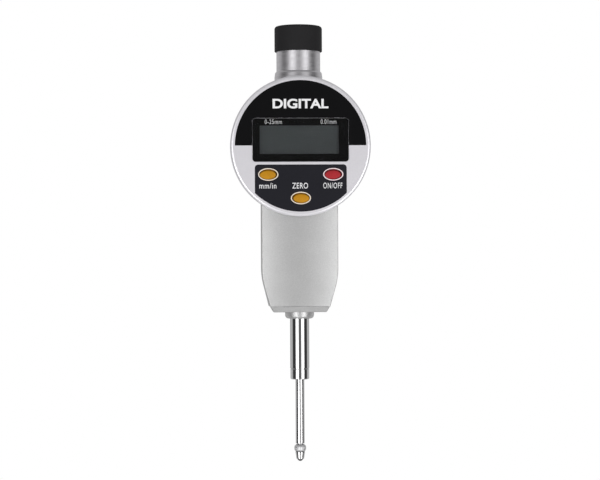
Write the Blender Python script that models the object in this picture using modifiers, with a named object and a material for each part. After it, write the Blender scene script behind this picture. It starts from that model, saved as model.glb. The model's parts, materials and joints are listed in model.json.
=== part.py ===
"""Digital travel indicator: round display head, machined body, 8 mm stem and a 25.4 mm spindle.

All sizes are in millimetres and are multiplied by MM when geometry is made. The origin is on the
spindle's axis where the stem leaves the body. -Y is the display side, +Z points up the spindle.
"""

import math

import bmesh
import bpy
from mathutils import Vector

MM = 0.001
FRONT = (math.pi / 2, 0.0, 0.0)
SIDE = (math.pi / 2, 0.0, math.pi / 2)
BACK = (-math.pi / 2, 0.0, 0.0)
UP = (0.0, 0.0, 0.0)
# A bore's facets turned so that none of its edges meets an edge of the round piece it cuts.
OFF_STEP = (0.0, 0.0, math.radians(5.6))

# Head
HEAD_Z = 71.8
HEAD_R = 29.0
SKIRT_R = 27.0
SKIRT_INNER_R = 25.0
HEAD_BACK = -7.8
HEAD_FACE = -17.0
HEAD_INSIDE = -15.4
LABEL_R = 27.8
LENS_SIZE = (39.9, 18.0)
LENS_OFFSET = (0.0, 2.47)
WINDOW_SIZE = (34.0, 13.0)
WINDOW_OFFSET = (-0.5, 2.57)
BUTTON_OFFSETS = {"unit": (-13.4, -11.75), "power": (13.4, -11.75), "zero": (0.0, -21.5)}
BUTTON_SEMI = (3.55, 2.0)
BUTTON_TRAVEL = 0.4
BUTTON_REAR = -12.75
HEAD_BOSSES = ((-16.0, 16.5), (16.0, 16.5), (-12.5, -18.8), (12.5, -18.8))
BOARD_POSTS = ((-20.5, -10.5), (20.5, -10.5))
BOARD_FRONT = -10.2
BOARD_BACK = -9.2

# Body
BODY_FRONT = -7.5
BODY_BACK = 8.0
DRUM_R = 27.0
NECK_HALF = 15.95
TAPER = math.radians(16.5)
TAPER_FOOT = (12.45, 5.2)
BODY_FOOT = (11.1, 2.8)
NECK_FILLET_R = 30.0
BODY_TOP = 96.8
WALL = 2.0
CAVITY_BOTTOM = 12.5
TOP_BLOCK = (13.0, 86.6)
BOSS_R = 6.1
COVER_BACK = 10.0
COVER_INSET = 0.5
COVER_BOTTOM = 5.5
LUG_HALF = 2.5
LUG_Y = 18.5
LUG_R = 8.0
LUG_HOLE_R = 3.25
BACK_SCREWS = ((-9.0, 9.0), (9.0, 9.0), (-10.8, 90.5), (10.8, 90.5))

# Spindle, stem and top sleeve
TRAVEL = 25.4
STEM_R = 4.0
STEM_END = -21.0
SPINDLE_R = 1.85
RUNNING_BORE_R = 1.95
SPINDLE_TOP = 94.2
SPINDLE_END = -52.6
TIP = -60.0
BALL_R = 1.25
CARRIER_BOTTOM = 15.6
CARRIER_TOP = 60.8
ROD_X = -8.2
SPRING_X = 8.2
SPRING_LOW = 14.6
SPRING_HIGH = 57.8
SPRING_TURNS = 13
SLEEVE_R = 9.2
FLANGE_R = 10.05
CAP_R = 10.0
CAP_TOP = 123.0
CAP_BOTTOM = 112.1

# Battery
BATTERY_X = -18.3
BATTERY_R = 5.8
BATTERY_HALF = 2.7

FINISHES = {
    "body_paint": ((0.40, 0.40, 0.41), 0.5, 0.0),
    "head_plastic": ((0.62, 0.61, 0.63), 0.38, 0.6),
    "label_print": ((0.10, 0.10, 0.11), 0.4, 0.0),
    "lens_clear": ((0.05, 0.055, 0.06), 0.06, 0.0),
    "lcd_glass": ((0.10, 0.11, 0.11), 0.25, 0.0),
    "black_plastic": ((0.025, 0.025, 0.026), 0.42, 0.0),
    "button_amber": ((0.50, 0.22, 0.02), 0.35, 0.0),
    "button_red": ((0.38, 0.03, 0.04), 0.35, 0.0),
    "turned_aluminium": ((0.72, 0.72, 0.72), 0.32, 1.0),
    "chrome_steel": ((0.75, 0.75, 0.76), 0.12, 1.0),
    "brushed_steel": ((0.60, 0.60, 0.61), 0.3, 1.0),
    "zinc_screw": ((0.45, 0.46, 0.47), 0.35, 1.0),
    "hardened_ball": ((0.80, 0.80, 0.80), 0.05, 1.0),
    "circuit_board": ((0.02, 0.16, 0.07), 0.45, 0.0),
    "scale_board": ((0.05, 0.20, 0.10), 0.4, 0.0),
    "chip_resin": ((0.012, 0.012, 0.012), 0.5, 0.0),
    "carrier_plastic": ((0.20, 0.20, 0.21), 0.5, 0.0),
    "brass_bush": ((0.55, 0.40, 0.16), 0.3, 1.0),
    "rubber": ((0.02, 0.02, 0.02), 0.8, 0.0),
    "zebra_rubber": ((0.20, 0.20, 0.22), 0.7, 0.0),
    "spring_steel": ((0.50, 0.50, 0.52), 0.25, 1.0),
    "battery_steel": ((0.68, 0.68, 0.66), 0.22, 1.0),
    "contact_nickel": ((0.62, 0.60, 0.55), 0.3, 1.0),
}


def clear_scene():
    for obj in list(bpy.data.objects):
        bpy.data.objects.remove(obj, do_unlink=True)


def new_collection(name):
    collection = bpy.data.collections.new(name)
    bpy.context.scene.collection.children.link(collection)
    return collection


def finish(name):
    """One Principled material for each finish, made when it is first asked for."""
    material = bpy.data.materials.get(name)
    if material:
        return material
    colour, roughness, metallic = FINISHES[name]
    material = bpy.data.materials.new(name)
    material.use_nodes = True
    shader = material.node_tree.nodes["Principled BSDF"]
    shader.inputs["Base Color"].default_value = (*colour, 1.0)
    shader.inputs["Roughness"].default_value = roughness
    shader.inputs["Metallic"].default_value = metallic
    return material


def place(name, mesh, location, rotation, material):
    """A part when it has a material; a helper, hidden and shown as wire, when it has none."""
    obj = bpy.data.objects.new(name, mesh)
    obj.location = Vector(location) * MM
    obj.rotation_euler = rotation
    if material:
        mesh.materials.clear()
        mesh.materials.append(finish(material))
        PARTS.objects.link(obj)
    else:
        obj.hide_render = True
        obj.display_type = "WIRE"
        CUTTERS.objects.link(obj)
    return obj


def smooth(mesh):
    mesh.shade_smooth()
    mesh.set_sharp_from_angle(angle=math.radians(30))


def box(name, low, high, material=None):
    mesh = bpy.data.meshes.new(name)
    size = (Vector(high) - Vector(low)) * MM
    form = bmesh.new()
    bmesh.ops.create_cube(form, size=1.0)
    bmesh.ops.scale(form, vec=size, verts=form.verts)
    form.to_mesh(mesh)
    form.free()
    return place(name, mesh, (Vector(low) + Vector(high)) / 2, UP, material)


def rod(name, start, end, radius, material=None, sides=20):
    """A round bar from start to end."""
    run = Vector(end) - Vector(start)
    mesh = bpy.data.meshes.new(name)
    form = bmesh.new()
    bmesh.ops.create_cone(
        form, cap_ends=True, segments=sides, depth=run.length * MM,
        radius1=radius * MM, radius2=radius * MM,
    )
    form.to_mesh(mesh)
    form.free()
    smooth(mesh)
    middle = (Vector(start) + Vector(end)) / 2
    return place(name, mesh, middle, run.to_track_quat("Z", "Y").to_euler(), material)


def ball(name, centre, radius, material=None, rings=8):
    mesh = bpy.data.meshes.new(name)
    form = bmesh.new()
    bmesh.ops.create_uvsphere(form, u_segments=2 * rings, v_segments=rings, radius=radius * MM)
    form.to_mesh(mesh)
    form.free()
    smooth(mesh)
    return place(name, mesh, centre, UP, material)


def turned(name, profile, material=None, centre=(0, 0, 0), rotation=UP, ring=False, steps=32):
    """Lathe work: profile points are (radius, height), down the outer side; a ring closes on itself."""
    count = len(profile)
    edges = [(i, i + 1) for i in range(count - 1)]
    if ring:
        edges.append((count - 1, 0))
    mesh = bpy.data.meshes.new(name)
    mesh.from_pydata([(radius * MM, 0.0, height * MM) for radius, height in profile], edges, [])
    obj = place(name, mesh, centre, rotation, material)
    screw = obj.modifiers.new("turn", "SCREW")
    screw.steps = steps
    screw.render_steps = steps
    screw.use_smooth_shade = True
    screw.use_merge_vertices = True
    screw.merge_threshold = 0.00001
    return obj


def prism(name, outlines, low, high, material=None, rotation=FRONT):
    """A flat outline, with any holes in it, made a plate from low to high along its normal.

    FRONT outlines are (x, z) and run along Y; SIDE outlines are (y, z) and run along X;
    UP outlines are (x, y) and run along Z.
    """
    curve = bpy.data.curves.new(name, "CURVE")
    curve.dimensions = "2D"
    curve.fill_mode = "BOTH"
    curve.extrude = (high - low) / 2 * MM
    for outline in outlines:
        spline = curve.splines.new("POLY")
        spline.points.add(len(outline) - 1)
        for point, (across, up) in zip(spline.points, outline):
            point.co = (across * MM, up * MM, 0.0, 1.0)
        spline.use_cyclic_u = True
    middle = (low + high) / 2
    centre = {FRONT: (0, middle, 0), SIDE: (middle, 0, 0), UP: (0, 0, middle)}[rotation]
    return solid_from_curve(name, curve, centre, rotation, material)


def solid_from_curve(name, curve, centre, rotation, material):
    """The curve's evaluated surface as one welded mesh with its faces pointing out."""
    guide = bpy.data.objects.new(name + "_curve", curve)
    bpy.context.scene.collection.objects.link(guide)
    bpy.context.view_layer.update()
    evaluated = guide.evaluated_get(bpy.context.evaluated_depsgraph_get())
    mesh = bpy.data.meshes.new_from_object(evaluated)
    bpy.data.objects.remove(guide, do_unlink=True)
    form = bmesh.new()
    form.from_mesh(mesh)
    bmesh.ops.remove_doubles(form, verts=form.verts, dist=0.000002)
    bmesh.ops.recalc_face_normals(form, faces=form.faces)
    form.to_mesh(mesh)
    form.free()
    smooth(mesh)
    return place(name, mesh, centre, rotation, material)


def combine(obj, operation, tools):
    for tool in tools:
        modifier = obj.modifiers.new(tool.name, "BOOLEAN")
        modifier.operation = operation
        modifier.solver = "EXACT"
        modifier.object = tool
    return obj


def cut(obj, *tools):
    return combine(obj, "DIFFERENCE", tools)


def join(obj, *tools):
    return combine(obj, "UNION", tools)


def arc(centre, radius, start, end, steps):
    """Points on a circle from start to end, in degrees, both ends included."""
    angles = [math.radians(start + (end - start) * i / steps) for i in range(steps + 1)]
    return [(centre[0] + radius * math.cos(a), centre[1] + radius * math.sin(a)) for a in angles]


def rounded(centre, size, radius, steps=4):
    """A rectangle with round corners."""
    half_x = size[0] / 2 - radius
    half_y = size[1] / 2 - radius
    points = []
    for sign_x, sign_y, start in ((1, 1, 0), (-1, 1, 90), (-1, -1, 180), (1, -1, 270)):
        corner = (centre[0] + sign_x * half_x, centre[1] + sign_y * half_y)
        points += arc(corner, radius, start, start + 90, steps)
    return points


def rectangle(x_low, x_high, z_low, z_high):
    return [(x_low, z_low), (x_high, z_low), (x_high, z_high), (x_low, z_high)]


def ellipse(centre, semi, steps=20):
    angles = [math.tau * i / steps for i in range(steps)]
    return [(centre[0] + semi[0] * math.cos(a), centre[1] + semi[1] * math.sin(a)) for a in angles]


def on_head(offset):
    """(x, z) of a place given from the head's centre."""
    return (offset[0], HEAD_Z + offset[1])


def hole_tools(name, places, radius, low, high, sides=16):
    """Round cutters along Y, one for each (x, z)."""
    return [
        rod(f"{name}_{i}", (x, low, z), (x, high, z), radius, sides=sides)
        for i, (x, z) in enumerate(places, 1)
    ]


# ---- body shell ----

def body_outline(inset, bottom, shoulder, top, foot=()):
    """Neck, taper and drum seen from the front, drawn inset from the outer surface."""
    taper_x = TAPER_FOOT[0] + (bottom - TAPER_FOOT[1]) * math.tan(TAPER) - inset / math.cos(TAPER)
    corner_z = TAPER_FOOT[1] + (NECK_HALF - TAPER_FOOT[0]) / math.tan(TAPER)
    fillet_z = corner_z + NECK_FILLET_R * math.tan(TAPER / 2)
    fillet_centre = (NECK_HALF - NECK_FILLET_R, fillet_z)
    drum_r = DRUM_R - inset
    neck_angle = math.degrees(math.acos((NECK_HALF - inset) / drum_r))
    shoulder_angle = math.degrees(math.acos(shoulder / drum_r))
    half = [*foot, (taper_x, bottom)]
    half += arc(fillet_centre, NECK_FILLET_R - inset, -math.degrees(TAPER), 0, 4)
    half += arc((0, HEAD_Z), drum_r, -neck_angle, shoulder_angle, 18)
    if half[-1][1] - top > 0.01:
        half.append((shoulder, top))
    return half + [(-x, z) for x, z in reversed(half)]


def wedge(name, face, inward):
    """Bevel across the foot of the body on the front (face < 0) or the back."""
    slope = (TAPER_FOOT[1] - BODY_FOOT[1]) / 1.3
    outer = face - inward * 2
    low = (face + inward * 1.95, TAPER_FOOT[1] - 1.95 * slope)
    high = (face - inward * 0.65, TAPER_FOOT[1] + 0.65 * slope)
    return prism(name, [[low, high, (outer, high[1]), (outer, low[1])]], -20, 20, rotation=SIDE)


def build_body():
    shoulder = math.sqrt(DRUM_R ** 2 - (BODY_TOP - HEAD_Z) ** 2)
    outline = body_outline(0, TAPER_FOOT[1], shoulder, BODY_TOP, foot=[BODY_FOOT])
    body = prism("main_body", [outline], BODY_FRONT, BODY_BACK, "body_paint")
    cut(body, wedge("foot_bevel_front", BODY_FRONT, 1), wedge("foot_bevel_back", BODY_BACK, -1))
    boss = [(0, 4.0), (BOSS_R, 4.0), (BOSS_R, 0.7), (BOSS_R - 0.25, 0.2), (BOSS_R - 0.8, 0.0), (0, 0)]
    join(body, turned("stem_boss", boss))
    cavity = body_outline(WALL, CAVITY_BOTTOM, *TOP_BLOCK)
    stem_hole = [(0, CAVITY_BOTTOM + 1), (STEM_R + 0.1, CAVITY_BOTTOM + 1), (STEM_R + 0.1, -1), (0, -1)]
    top_bores = [(0, 98), (6.15, 98), (6.15, 92.2), (3.6, 92.2), (3.6, 85.6), (0, 85.6)]
    rod_holes = [
        rod("rod_hole_low", (ROD_X, 0, 10.6), (ROD_X, 0, 13), 1.15),
        rod("rod_hole_high", (ROD_X, 0, 86), (ROD_X, 0, 90.1), 1.15),
    ]
    cut(
        body,
        prism("cavity", [cavity], BODY_FRONT + WALL, BODY_BACK + 1),
        turned("stem_bore", stem_hole, rotation=OFF_STEP, steps=32),
        turned("top_bores", top_bores, rotation=OFF_STEP, steps=32),
        box("sensor_window", (-7.5, -8, 45.8), (7.5, -5, 62.2)),
        box("contact_slot", (-20.5, -8, 81.5), (-13.5, -5, 85.4)),
        box("battery_opening", (-28, -3.9, HEAD_Z - 7.1), (-22, 3.9, HEAD_Z + 7.1)),
        rod("anchor_hole", (SPRING_X, -6.5, SPRING_LOW), (SPRING_X, -5, SPRING_LOW), 0.8, sides=12),
        *rod_holes,
        *hole_tools("back_screw_hole", BACK_SCREWS, 1.3, 1.5, 9, sides=12),
        *hole_tools("head_screw_hole", map(on_head, HEAD_BOSSES), 1.3, -8, -5, sides=12),
    )


def build_back_cover():
    top = BODY_TOP - COVER_INSET
    shoulder = math.sqrt((DRUM_R - COVER_INSET) ** 2 - (top - HEAD_Z) ** 2)
    outline = body_outline(COVER_INSET, COVER_BOTTOM, shoulder, top)
    cover = prism("back_cover", [outline], BODY_BACK + 0.1, COVER_BACK, "body_paint")
    lug = [(BODY_BACK + 0.8, HEAD_Z - LUG_R)]
    lug += arc((LUG_Y, HEAD_Z), LUG_R, -90, 90, 18)
    lug += [(BODY_BACK + 0.8, HEAD_Z + LUG_R)]
    join(cover, prism("lug", [lug], -LUG_HALF, LUG_HALF, rotation=SIDE))
    hole = rod("lug_hole", (-4, LUG_Y, HEAD_Z), (4, LUG_Y, HEAD_Z), LUG_HOLE_R, sides=24)
    cut(cover, hole)
    countersink = [(0, 11), (3.45, 11), (1.3, 8.85), (1.3, 7), (0, 7)]
    for i, (x, z) in enumerate(BACK_SCREWS, 1):
        cut(cover, turned(f"countersink_{i}", countersink, centre=(x, 0, z), rotation=BACK, steps=24))
    head = [(0, 9.9), (2.2, 9.9), (1.05, 8.75), (1.05, 2.2), (0, 2.2)]
    for i, (x, z) in enumerate(BACK_SCREWS, 1):
        screw = turned(
            f"back_screw_{i}", head, "zinc_screw", centre=(x, 0, z), rotation=BACK, steps=16
        )
        for turn, (wide, tall) in enumerate(((2.6, 0.5), (0.5, 2.6)), 1):
            low = (x - wide / 2, 9.1, z - tall / 2)
            high = (x + wide / 2, 10.5, z + tall / 2)
            cut(screw, box(f"back_screw_slot_{i}_{turn}", low, high))


# ---- display head ----

def build_housing():
    profile = [
        (0, -HEAD_FACE), (27.9, -HEAD_FACE), (28.0, 17.4), (28.4, 17.4), (HEAD_R, 16.8),
        (HEAD_R, 10.6), (SKIRT_R, 10.6), (SKIRT_R, -HEAD_BACK), (SKIRT_INNER_R, -HEAD_BACK),
        (SKIRT_INNER_R, 11.4), (27.2, 11.4), (27.2, -HEAD_INSIDE), (0, -HEAD_INSIDE),
    ]
    housing = turned(
        "display_housing", profile, "head_plastic", centre=(0, 0, HEAD_Z), rotation=FRONT, steps=48
    )
    bosses = hole_tools("boss", map(on_head, HEAD_BOSSES), 2.0, HEAD_INSIDE - 0.4, HEAD_BACK)
    posts = hole_tools("post", map(on_head, BOARD_POSTS), 1.8, HEAD_INSIDE - 0.4, BOARD_FRONT - 0.1)
    join(housing, *bosses, *posts)
    lens_size = [side + 0.4 for side in LENS_SIZE]
    lens_recess = [rounded(on_head(LENS_OFFSET), lens_size, 1.5)]
    port = rectangle(-14.1, -11.3, HEAD_Z - 4.6, HEAD_Z + 4.6)
    cut(
        housing,
        rod("flange_clearance", (0, 0, BODY_TOP - 0.1), (0, 0, 102), 10.4, sides=40),
        prism("lens_recess", lens_recess, -18, -16),
        prism("window", [rounded(on_head(WINDOW_OFFSET), WINDOW_SIZE, 0.8)], -17, -14.5),
        *button_holes("housing_button_hole"),
        prism("port_opening", [port], 24, 31, rotation=SIDE),
        *hole_tools("boss_pilot", map(on_head, HEAD_BOSSES), 1.2, -14.8, -7, sides=12),
        *hole_tools("post_pilot", map(on_head, BOARD_POSTS), 1.0, -14.5, -9, sides=12),
    )


def button_holes(name):
    semi = [half + 0.2 for half in BUTTON_SEMI]
    return [
        prism(f"{name}_{key}", [ellipse(on_head(offset), semi)], -18, -15)
        for key, offset in BUTTON_OFFSETS.items()
    ]


def build_label_and_lens():
    round_edge = arc((0, HEAD_Z), LABEL_R, 0, 352.5, 47)
    holes = [rounded(on_head(LENS_OFFSET), [side + 0.4 for side in LENS_SIZE], 1.5)]
    semi = [half + 0.2 for half in BUTTON_SEMI]
    holes += [ellipse(on_head(offset), semi) for offset in BUTTON_OFFSETS.values()]
    prism("face_label", [round_edge, *holes], -17.32, -17.1, "label_print")
    prism("lcd_lens", [rounded(on_head(LENS_OFFSET), LENS_SIZE, 1.3)], -17.6, -16.1, "lens_clear")


def build_display():
    low, high = HEAD_Z - 5.5, HEAD_Z + 10.6
    box("lcd_panel", (-18.5, -14.9, low), (18.5, -13.3, high), "lcd_glass")
    frame = rectangle(-20, 20, low - 1.4, high + 1.4)
    pocket = rectangle(-18.6, 18.6, low - 0.1, high + 0.1)
    prism("lcd_holder", [frame, pocket], -15.3, -10.3, "black_plastic")
    for name, z in (("upper", high - 1.7), ("lower", low + 0.2)):
        box(f"zebra_strip_{name}", (-17, -13.2, z), (17, -10.3, z + 1.5), "zebra_rubber")


def build_electronics():
    board = turned(
        "main_board", [(0, -BOARD_FRONT), (24.4, -BOARD_FRONT), (24.4, -BOARD_BACK), (0, -BOARD_BACK)],
        "circuit_board", centre=(0, 0, HEAD_Z), rotation=FRONT, steps=40,
    )
    boss_gaps = hole_tools("board_boss_gap", map(on_head, HEAD_BOSSES), 2.3, -11, -8)
    post_holes = hole_tools("board_post_hole", map(on_head, BOARD_POSTS), 1.1, -11, -8, sides=12)
    cut(board, *boss_gaps, *post_holes)
    box("sensor_board", (-7, -6.5, 46.3), (7, -5.5, 61.7), "circuit_board")
    box("board_header", (-3, -9.1, 49), (3, -6.6, 51.5), "black_plastic")
    chip = [(0, 11.5), (2.8, 11.4), (4.1, 11.0), (4.5, 10.3), (0, 10.3)]
    turned(
        "controller_chip", chip, "chip_resin", centre=(0, 0, HEAD_Z - 13.5), rotation=FRONT, steps=20
    )
    rod(
        "crystal_can", (5.6, -11.4, HEAD_Z - 15.4), (9.8, -11.4, HEAD_Z - 15.4), 1.0,
        "battery_steel", sides=14,
    )
    plunger_front = BUTTON_REAR + BUTTON_TRAVEL + 0.1
    for key, offset in BUTTON_OFFSETS.items():
        x, z = on_head(offset)
        low, high = (x - 2.25, -11.8, z - 2.25), (x + 2.25, -10.3, z + 2.25)
        switch = box(f"switch_{key}", low, high, "black_plastic")
        join(switch, rod(f"switch_plunger_{key}", (x, -11.5, z), (x, plunger_front, z), 1.0, sides=14))
    for i, (x, z) in enumerate(map(on_head, BOARD_POSTS), 1):
        screw = [(0, -7.9), (1.6, -7.9), (1.6, -9.1), (0.8, -9.1), (0.8, -13.5), (0, -13.5)]
        turned(
            f"board_screw_{i}", screw, "zinc_screw", centre=(x, 0, z), rotation=BACK, steps=14
        )
    box("data_connector", (20.4, -14.0, HEAD_Z - 4.5), (24.4, -10.3, HEAD_Z + 4.5), "black_plastic")


def build_head_screws():
    """Four screws from inside the body, through its front wall, into the display housing."""
    profile = [(0, -4.0), (2.0, -4.0), (2.0, -5.4), (0.95, -5.4), (0.95, -14.4), (0, -14.4)]
    for i, (x, z) in enumerate(map(on_head, HEAD_BOSSES), 1):
        turned(
            f"head_screw_{i}", profile, "zinc_screw", centre=(x, 0, z), rotation=BACK, steps=16
        )


def build_buttons():
    for key, offset in BUTTON_OFFSETS.items():
        x, z = on_head(offset)
        material = "button_red" if key == "power" else "button_amber"
        name = f"button_{key}"
        outline = ellipse((x, z), BUTTON_SEMI)
        button = prism(name, [outline], -17.75, -15.0, material)
        flange = prism(f"{name}_flange", [ellipse((x, z), (4.2, 2.6))], -15.25, -14.5)
        join(button, flange, rod(f"{name}_stem", (x, -14.8, z), (x, BUTTON_REAR, z), 1.5, sides=16))
        ride(f"{name}_axis", (x, -16, z), [button])


def build_data_port():
    low, high = HEAD_Z - 4.3, HEAD_Z + 4.3
    plug = prism("data_port_cover", [rectangle(26.4, 30, low, high)], -13.9, -11.5, "black_plastic")
    outside = rod("port_round", (0, -20, HEAD_Z), (0, -5, HEAD_Z), HEAD_R - 0.05, sides=96)
    combine(plug, "INTERSECT", [outside])
    ride("data_port_axis", (26.4, -12.7, HEAD_Z), [plug])


# ---- battery drawer ----

def build_battery():
    tray = box("battery_tray", (-28, -3.6, HEAD_Z - 6.9), (-11.7, 3.6, HEAD_Z + 6.9), "body_paint")
    outside = rod("drum_round", (0, -6, HEAD_Z), (0, 6, HEAD_Z), DRUM_R - 0.05, sides=96)
    combine(tray, "INTERSECT", [outside])
    centre = (BATTERY_X, HEAD_Z)
    cut(
        tray,
        rod("battery_pocket", (centre[0], -2.9, HEAD_Z), (centre[0], 5, HEAD_Z), 6.1, sides=28),
        rod("battery_window", (centre[0], -5, HEAD_Z), (centre[0], 0, HEAD_Z), 4.0, sides=16),
        box("tray_grip", (-28, -2.4, HEAD_Z - 3.2), (-26.2, -1.6, HEAD_Z + 3.2)),
    )
    cell = [
        (0, BATTERY_HALF), (BATTERY_R - 0.3, BATTERY_HALF), (BATTERY_R, BATTERY_HALF - 0.3),
        (BATTERY_R, -BATTERY_HALF + 0.6), (BATTERY_R - 0.9, -BATTERY_HALF), (0, -BATTERY_HALF),
    ]
    battery = turned(
        "battery", cell, "battery_steel", centre=(BATTERY_X, 0, HEAD_Z), rotation=BACK, steps=32
    )
    ride("battery_tray_axis", (-20, 0, HEAD_Z), [tray, battery])


def build_battery_contacts():
    """Bent strips: up beside the cell, then forward through the slot to the board."""
    for name, y, top in (("positive", -4.25, 83.0), ("negative", 4.25, 84.6)):
        bend = [(y, 67.0), (y, top), (BOARD_BACK + 0.2, top)]
        width = (-19.5, -16.5)
        mesh = bpy.data.meshes.new(f"battery_contact_{name}")
        points = [(x * MM, y_at * MM, z * MM) for y_at, z in bend for x in width]
        mesh.from_pydata(points, [], [(0, 1, 3, 2), (2, 3, 5, 4)])
        strip = place(f"battery_contact_{name}", mesh, (0, 0, 0), UP, "contact_nickel")
        thicken = strip.modifiers.new("thickness", "SOLIDIFY")
        thicken.thickness = 0.3 * MM
        thicken.offset = 0.0


# ---- stem and bushings ----

def build_stem():
    stem = [
        (3.7, 12.0), (STEM_R, 11.7), (STEM_R, STEM_END + 0.25), (STEM_R - 0.25, STEM_END),
        (3.0, STEM_END), (3.0, -11.9), (2.2, -11.9), (2.2, 12.0),
    ]
    turned("stem", stem, "chrome_steel", ring=True, steps=32)
    lower = [
        (2.9, -12.1), (2.9, -21.2), (3.7, -21.2), (3.95, -21.45), (3.95, -25.1), (3.55, -25.5),
        (RUNNING_BORE_R, -25.5), (RUNNING_BORE_R, -12.1),
    ]
    turned("lower_bushing", lower, "chrome_steel", ring=True, steps=24)
    upper = [(3.5, 94.0), (3.5, 88.6), (RUNNING_BORE_R, 88.6), (RUNNING_BORE_R, 94.0)]
    turned("upper_bushing", upper, "brass_bush", ring=True, steps=28)
    stop_low, stop_high = CARRIER_BOTTOM - 0.3, CARRIER_TOP + TRAVEL + 0.2
    for name, top, bottom in (("lower", stop_low, 12.8), ("upper", 88.3, stop_high)):
        ring = [(3.4, top), (3.4, bottom), (2.15, bottom), (2.15, top)]
        turned(f"{name}_bumper", ring, "rubber", ring=True, steps=24)
    rod("guide_rod", (ROD_X, 0, 10.8), (ROD_X, 0, 89.9), 1.0, "brushed_steel", sides=16)
    rod(
        "spring_anchor_pin", (SPRING_X, -6.3, SPRING_LOW), (SPRING_X, 2.2, SPRING_LOW), 0.7,
        "brushed_steel", sides=12,
    )


# ---- spindle group ----

def build_spindle():
    profile = [
        (0, SPINDLE_TOP), (SPINDLE_R - 0.2, SPINDLE_TOP), (SPINDLE_R, SPINDLE_TOP - 0.2),
        (SPINDLE_R, SPINDLE_END + 0.35), (SPINDLE_R - 0.35, SPINDLE_END), (0, SPINDLE_END),
    ]
    spindle = turned("spindle", profile, "chrome_steel", steps=24)
    cut(
        spindle,
        rod("point_hole", (0, 0, SPINDLE_END - 1), (0, 0, SPINDLE_END + 4), 1.3, sides=16),
        rod("button_hole", (0, 0, SPINDLE_TOP + 1), (0, 0, SPINDLE_TOP - 3.6), 1.0, sides=16),
    )
    point = [
        (0, -48.9), (1.0, -48.9), (1.15, -49.05), (1.15, -52.9), (2.3, -52.9), (2.5, -53.2),
        (2.5, -55.8), (2.3, -56.1), (2.0, -56.1), (1.58, -59.0), (1.0, -59.5), (0, -59.5),
    ]
    contact_point = turned("contact_point", point, "chrome_steel", steps=24)
    ball_z = TIP + BALL_R
    cut(contact_point, ball("ball_socket", (0, 0, ball_z), BALL_R + 0.1))
    contact_ball = ball("contact_ball", (0, 0, ball_z), BALL_R, "hardened_ball")
    button = [
        (0, 96.0), (2.8, 96.0), (3.0, 95.8), (3.0, 94.4), (0.85, 94.4), (0.85, 91.0), (0, 91.0),
    ]
    lifting_button = turned("lifting_button", button, "brushed_steel", steps=24)
    moving = [spindle, contact_point, contact_ball, lifting_button]
    ride("spindle_axis", (0, 0, 0), moving + build_carriage())


def build_carriage():
    """What the spindle carries: the scale on its carrier, the guide arm, its screws and the hook pin."""
    carrier = box(
        "scale_carrier", (-4.5, -4.4, CARRIER_BOTTOM), (4.5, -2.0, CARRIER_TOP), "carrier_plastic"
    )
    for name, z in (("lower", CARRIER_BOTTOM), ("upper", CARRIER_TOP - 6)):
        join(carrier, box(f"collar_{name}", (-4.5, -4.4, z), (4.5, 3.2, z + 6)))
    bore = rod("carrier_bore", (0, 0, 10), (0, 0, 70), SPINDLE_R + 0.15, sides=24)
    lower_hole, upper_hole = hole_tools("carrier_screw_hole", ((0, 18.6), (0, 57.8)), 1.05, 0, 4)
    cut(carrier, bore, lower_hole, upper_hole)
    scale = box("encoder_scale", (-4.25, -5.3, 19.8), (4.25, -4.5, CARRIER_TOP), "scale_board")
    plate_low, plate_high = SPRING_HIGH - 2, SPRING_HIGH + 2
    arm = box("guide_arm", (-10.4, 3.4, plate_low), (9.8, 5.0, plate_high), "brushed_steel")
    join(arm, box("guide_arm_eye", (-10.2, -1.8, plate_low), (-6.2, 3.8, plate_high)))
    cut(
        arm,
        rod("rod_eye", (ROD_X, 0, 50), (ROD_X, 0, 65), 1.15, sides=16),
        rod("hook_pin_hole", (SPRING_X, 2, SPRING_HIGH), (SPRING_X, 7, SPRING_HIGH), 0.8, sides=12),
        rod("arm_screw_hole", (0, 2, SPRING_HIGH), (0, 7, SPRING_HIGH), 1.05, sides=12),
    )
    hook_pin = rod(
        "spring_hook_pin", (SPRING_X, -2.2, SPRING_HIGH), (SPRING_X, 5.0, SPRING_HIGH), 0.7,
        "brushed_steel", sides=12,
    )
    set_screw = rod("carrier_screw_lower", (0, 2.15, 18.6), (0, 3.0, 18.6), 0.9, "zinc_screw", 12)
    head = [(0, 6.3), (1.6, 6.3), (1.6, 5.1), (0.9, 5.1), (0.9, 2.15), (0, 2.15)]
    arm_screw = turned(
        "carrier_screw_upper", head, "zinc_screw", centre=(0, 0, SPRING_HIGH), rotation=BACK, steps=16
    )
    return [carrier, scale, arm, hook_pin, set_screw, arm_screw]


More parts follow.
